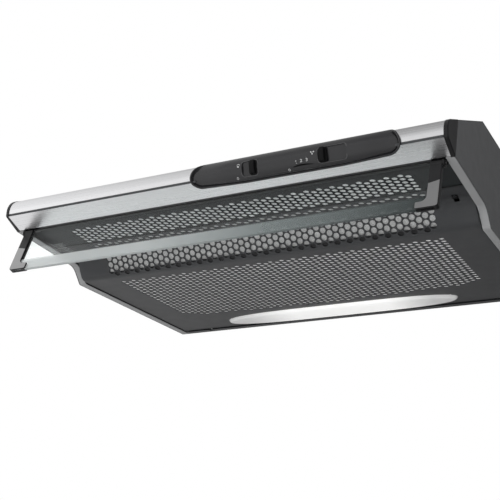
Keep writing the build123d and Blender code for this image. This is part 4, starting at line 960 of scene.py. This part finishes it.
cutters = [prism("cutter", pocket_outline(*place), FLOOR_R, 40.0, into_arch) for place in POCKETS.values()]
cut(bezel, cutters)
for side, (x_low, width) in POCKETS.items():
    # a fine raised bead round the pocket, as a ring of eight points at each point of its path, in a lighter
    # gloss that paints a highlight on it
    path = pocket_outline(x_low, width, BEAD_HALF)
    rims = []
    for x, z in path:
        turn = asin((z - ARCH_Z) / FACE_R)
        dx, dz = x - (x_low + width / 2), z - (POCKET_LOW + POCKET_HIGH) / 2
        size = hypot(dx, dz)
        for k in range(8):
            a = 2 * pi * k / 8
            across = BEAD_HALF * cos(a)
            lift = turn + across * dz / size / FACE_R
            rims.append(on_arch(x + across * dx / size, lift, FACE_R + 0.02 + BEAD_RISE * sin(a)))
    m = len(path)
    faces = [
        (i * 8 + k, i * 8 + (k + 1) % 8, ((i + 1) % m) * 8 + (k + 1) % 8, ((i + 1) % m) * 8 + k)
        for i in range(m) for k in range(8)
    ]
    piece("Bead_" + side, rims, faces, "bezel_gloss", "hood", (), 80.0, BEAD_PAINTED_HIGHLIGHT)

# the slider knobs: for each node its body and the knob's left side
KNOBS = {"light_slider": ("light_knob", 63.0), "speed_slider": ("speed_knob", 150.0)}
KNOB_WIDTH, KNOB_GAP = 11.0, 0.3
FIN_LOW_R, FIN_TOP_R = 15.5, 20.0
for node_name, (body, x_low) in KNOBS.items():
    low_z, high_z = POCKET_LOW + KNOB_GAP, POCKET_HIGH - KNOB_GAP
    near_x, far_x = x_low + KNOB_GAP, x_low + KNOB_WIDTH - KNOB_GAP
    base = rounded([(near_x, low_z), (far_x, low_z), (far_x, high_z), (near_x, high_z)], [2] * 4, 5)
    solid(
        node_name + "_base", base, 15.4, 17.6, into_arch,
        "black_plastic", body, [node_name], 0.6, material=KNOB,
    )
    levels = [low_z + 0.2 + (high_z - low_z - 0.4) * k / 12 for k in range(13)]
    fin = [(arch_y(z, FIN_LOW_R), z) for z in levels]
    fin += [(arch_y(z, FIN_TOP_R), z) for z in reversed(levels)]
    solid(
        node_name + "_fin", fin, x_low + 2.6, x_low + 8.4, along_x,
        "black_plastic", body, (), 2.2, 5, material=KNOB,
    )

# scale marks
ink = Shader("ink")
ink_node = ink.bsdf((0.4, 0.4, 0.4), 0.5)
ink.join(
    ink.ramp(ink.noise(ink.place(), 800.0), [(0.3, (0.35, 0.355, 0.355)), (0.7, (0.45, 0.45, 0.45))]),
    ink_node.inputs["Base Color"],
)


def decal(name, shapes, x, z, material=None, grow=1.4):
    """Flat shapes, as lists of points, laid on the insert's face."""
    verts, faces = [], []
    a = ARCH_R * asin((z - ARCH_Z) / FACE_R)
    for shape in shapes:
        start = len(verts)
        verts += [on_arch(x + p * grow, (a + q * grow) / ARCH_R, FACE_R + 0.06) for p, q in shape]
        faces.append(tuple(range(start, len(verts))))
    return piece(name, verts, faces, "bezel_gloss", "hood", (), 30.0, material or ink.material)


def stroke(points, width, closed=False):
    """A line with a width, as quads."""
    shapes = []
    n = len(points)
    for i in range(n if closed else n - 1):
        a, b = np.array(points[i]), np.array(points[(i + 1) % n])
        d = (b - a) / max(1e-6, np.linalg.norm(b - a))
        side = np.array([-d[1], d[0]]) * width / 2
        tip = d * width * 0.25
        corners = (a - tip - side, b + tip - side, b + tip + side, a - tip + side)
        shapes.append([tuple(corner) for corner in corners])
    return shapes


def oval(rx, ry, count=20, cx=0.0, cy=0.0):
    return [(cx + rx * cos(2 * pi * k / count), cy + ry * sin(2 * pi * k / count)) for k in range(count)]


zero = stroke(oval(0.75, 1.15), 0.32, True)
one = stroke([(-0.5, 0.6), (0.1, 1.2), (0.1, -1.2)], 0.34)
two = stroke(
    [(-0.7, 0.6), (-0.4, 1.1), (0.3, 1.15), (0.65, 0.6), (0.4, 0.0), (-0.75, -1.15), (0.8, -1.15)], 0.32,
)
three = stroke(
    [(-0.65, 0.9), (-0.1, 1.2), (0.5, 0.95), (0.55, 0.4), (0.0, 0.05), (0.6, -0.3), (0.6, -0.85),
     (0.0, -1.2), (-0.7, -0.9)], 0.32,
)
bow = [(13.0 - 26.0 * k / 16, -0.9 + 0.7 * sin(pi * k / 16)) for k in range(17)]
bow += [(-13.0 + 26.0 * k / 16, -0.9 + 3.3 * sin(pi * k / 16) ** 0.6 * (1 - k / 40)) for k in range(1, 16)]
decal("Mark_wedge", [bow], 131.0, 41.2, INK_BLACK, 1.0)
decal("Mark_zero", zero, 113.0, 39.3)
decal("Mark_one", one, 123.2, 45.3)
decal("Mark_two", two, 129.5, 45.9)
decal("Mark_three", three, 136.3, 45.9)
fan = []
for k in range(3):
    a = 2 * pi * k / 3 + 0.4
    blade = [(0.15, 0.0), (0.9, 0.55), (1.9, 0.45), (2.0, -0.15), (1.0, -0.25)]
    fan.append([(p * cos(a) - q * sin(a), p * sin(a) + q * cos(a)) for p, q in blade])
decal("Mark_fan", fan, 143.5, 52.7)
socket = [(-0.5, -1.6), (0.5, -1.6), (0.5, -0.8), (-0.5, -0.8)]
decal("Mark_lamp", stroke(oval(1.1, 1.2, 16, 0, 0.5), 0.3, True) + [socket], 49.4, 53.1)
decal("Mark_off", zero, 47.0, 39.9)

# the lamp lens: rings from its flange down to its flat and, inside, from the flange to the flat's back,
# each as how far it grows past the outline and its height
LENS_OUT = [
    (2.4, 3.9), (2.6, 2.35), (-0.35, 2.35), (-0.45, 1.5), (-0.8, 0.3), (-1.5, -0.9), (-2.6, -1.9),
    (-4.0, -2.55), (-5.6, -2.88), (-7.2, -2.98), (-7.9, -2.7), (-8.4, -2.6), (-8.9, -2.7), (-9.6, -2.98),
    (-12.0, -3.0), (-17.0, -3.0),
]
LENS_IN = [(-2.3, 3.9), (-2.4, 1.0), (-4.5, -0.4), (-8.0, -1.0), (-17.0, -1.0)]
LENS_COUNT = 96


def lens_skin(rings, start):
    """Faces that join rings of the lens in turn and close the last one."""
    n = LENS_COUNT
    faces = []
    for ring in range(len(rings) - 1):
        a = start + ring * n
        for i in range(n):
            j = (i + 1) % n
            faces.append((a + i, a + n + i, a + n + j, a + j))
    last = start + (len(rings) - 1) * n
    half = n // 2
    faces.append((last, last + n - 1, last + 1))
    for k in range(1, half - 1):
        faces.append((last + k, last + n - k, last + n - k - 1, last + k + 1))
    faces.append((last + half - 1, last + half + 1, last + half))
    return faces


verts = [(x, y, z) for grow, z in LENS_OUT + LENS_IN for x, y in lens_outline(grow, LENS_COUNT)]
inner_start = len(LENS_OUT) * LENS_COUNT
faces = lens_skin(LENS_OUT, 0)
faces += [tuple(reversed(face)) for face in lens_skin(LENS_IN, inner_start)]
for i in range(LENS_COUNT):
    j = (i + 1) % LENS_COUNT
    faces.append((i, j, inner_start + j, inner_start + i))
piece("Lens", verts, faces, "lens_white", "door", ["lamp_lens"], 50.0)

# the visor
FOOT = brushed("foot_metal", (0.3, 0.3, 0.302), 0.3, (40, 40, 40))
ARM_IN, ARM_OUT = 271.0, 284.4           # each arm's sides


def on_visor(x, up, out):
    """A point of the visor: its height up the glass and how far it lies in front of its middle."""
    y = AXIS_Y + up * sin(VISOR_LEAN) - out * cos(VISOR_LEAN)
    return (x, y, AXIS_Z + up * cos(VISOR_LEAN) + out * sin(VISOR_LEAN))


half_glass = [(281.0, LOW), (281.0, -7.0), (270.7, -7.0), (270.7, 3.2)]
glass = [(-281.0, LOW)] + half_glass + [(-x, up) for x, up in half_glass[:0:-1]]
glass = rounded(glass, [1.0, 1.0, 1.0, 0, 0.8, 0.8, 0, 1.0], 4)
solid("Glass", glass, -2.0, 2.0, on_visor, "visor_glass", "visor", ["visor_glass"], 0.5, 2, 8.0)
trim = [(-270.6, 2.6), (270.6, 2.6), (270.6, 4.0), (-270.6, 4.0)]
solid("Visor_seal", trim, -2.2, 2.2, on_visor, "black_plastic", "visor", (), 0.3, 2)
for sign, name in ((1, "right"), (-1, "left")):
    arm = [(ARM_OUT, 0), (ARM_OUT, LOW), (259.0, LOW), (259.0, LOW + 9.0), (ARM_IN, LOW + 9.0), (ARM_IN, 0)]
    arm = rounded([(sign * x, y) for x, y in arm], [0.6, 3.0, 1.5, 1.0, 7.0, 0.6], 8)
    solid("Arm_" + name, arm, -3.5, 3.5, on_visor, "black_plastic", "visor", ["visor_arm_" + name], 0.9, 3)
    foot = [(284.0, -27.0), (284.0, -63.1), (259.4, -63.1), (259.4, -54.9), (271.4, -54.9), (271.4, -30.0)]
    foot = rounded([(sign * x, y) for x, y in foot], [0.4, 2.8, 1.3, 0.8, 7.2, 0.4], 8)
    solid(
        "Foot_" + name, foot, 3.3, 3.75, on_visor, "black_plastic", "visor", (), 0.15, 2, material=FOOT,
    )
    solid(
        "Knuckle_" + name, oval(4.3, 4.3, 40, AXIS_Y, AXIS_Z), sign * ARM_IN, sign * ARM_OUT, along_x,
        "black_plastic", "visor", (), 0.3, 2,
    )

# floor, light and camera
mesh = bpy.data.meshes.new("Floor")
FLOOR_HALF, FLOOR_Z = 6.0, -0.8          # in metres
ends = [(-1, -1), (1, -1), (1, 1), (-1, 1)]
mesh.from_pydata([(x * FLOOR_HALF, y * FLOOR_HALF, FLOOR_Z) for x, y in ends], [], [(0, 1, 2, 3)])
floor = bpy.data.objects.new("Floor", mesh)
bpy.context.scene.collection.objects.link(floor)
ground = Shader("floor")
ground_node = ground.bsdf((0.8, 0.8, 0.8), 0.8)
ground.join(
    ground.ramp(ground.noise(ground.place(), 3.0), greys((0.3, 0.78), (0.7, 0.82))),
    ground_node.inputs["Base Color"],
)
mesh.materials.append(ground.material)


def lamp(name, place, target, size, energy):
    """A square area lamp that polished faces don't mirror."""
    data = bpy.data.lights.new(name, "AREA")
    data.shape = "SQUARE"
    data.size = size
    data.energy = energy
    thing = bpy.data.objects.new(name, data)
    thing.location = place
    thing.rotation_euler = (Vector(target) - Vector(place)).to_track_quat("-Z", "Y").to_euler()
    thing.visible_glossy = False
    bpy.context.scene.collection.objects.link(thing)


lamp("Key", (-1.6, -1.9, 1.1), (0, -0.35, 0.05), 1.6, 30.0)
lamp("Low", (0.1, -1.25, -0.7), (0, -0.25, 0.0), 1.5, 19.0)
lamp("Right", (0.9, -0.9, 0.5), (0.3, -0.35, 0.08), 0.5, 8.0)
floor.visible_glossy = False
floor.visible_transmission = False

world = bpy.data.worlds.new("Studio")
bpy.context.scene.world = world
world.use_nodes = True
sky = NodeTree(world.node_tree)
rays = sky.add("ShaderNodeLightPath").outputs
split = sky.add("ShaderNodeSeparateXYZ")
sky.join(sky.add("ShaderNodeTexCoord").outputs["Generated"], split.inputs[0])
X, Y, Z = split.outputs
# what polished faces mirror: bright on the left, dim on the right
GLOW_PEAK = 1.25
GLOW = [(0.0, 1.2), (0.16, GLOW_PEAK), (0.24, 0.95), (0.33, 0.6), (0.5, 0.3), (1.0, 0.2)]
glow = sky.ramp(sky.span(X, -1.0, 1.0), greys(*((position, level / GLOW_PEAK) for position, level in GLOW)))
# in front it is brighter to the right, below to the left, and it is dimmer behind
front = sky.maths("MULTIPLY", sky.span(Y, -0.45, -0.8), sky.span(X, -0.5, -0.3, 0.35, 1.3))
under = sky.maths("MULTIPLY", sky.span(Z, -0.5, -0.8), sky.span(X, -0.55, -0.35, 0.1, 0.3))
behind = sky.span(Y, -0.1, 0.85, GLOW_PEAK, 0.75)
mirrored = sky.add("ShaderNodeBackground")
sky.join(glow, mirrored.inputs["Color"])
sky.join(sky.maths("ADD", sky.maths("ADD", front, under), behind), mirrored.inputs["Strength"])


def even_white(strength):
    node = sky.add("ShaderNodeBackground")
    node.inputs["Color"].default_value = (1, 1, 1, 1)
    node.inputs["Strength"].default_value = strength
    return node.outputs[0]


soft = sky.mix(rays["Is Glossy Ray"], even_white(0.45), mirrored.outputs[0])
# the camera sees plain white, and so do rays that come through the glass, unless they go down
through = sky.maths("MULTIPLY", rays["Is Transmission Ray"], sky.span(Z, -0.3, -0.1))
seen = sky.maths("MAXIMUM", rays["Is Camera Ray"], through)
sky.join(sky.mix(seen, soft, even_white(1.0)), sky.add("ShaderNodeOutputWorld").inputs[0])

# the camera, fitted to the photograph's edges
YAW, PITCH, ROLL = -0.497890429, 0.347488999, 0.0407081677
CAMERA_AT = (0.563872815, -1.37773471, -0.431421890)
forward = Vector((sin(YAW) * cos(PITCH), cos(YAW) * cos(PITCH), sin(PITCH)))
level = Vector((cos(YAW), -sin(YAW), 0))
above = level.cross(forward)
right = level * cos(ROLL) + above * sin(ROLL)
up = -level * sin(ROLL) + above * cos(ROLL)
data = bpy.data.cameras.new("Camera")
data.sensor_width = 36.0
data.lens = 71.5445
data.shift_x = 0.0082
data.shift_y = -0.0006
data.clip_start = 0.01
camera = bpy.data.objects.new("Camera", data)
turn = Matrix((right, up, -forward)).transposed()
camera.matrix_world = Matrix.Translation(CAMERA_AT) @ turn.to_4x4()
bpy.context.scene.collection.objects.link(camera)
bpy.context.scene.camera = camera
bpy.context.scene.view_settings.view_transform = "Standard"
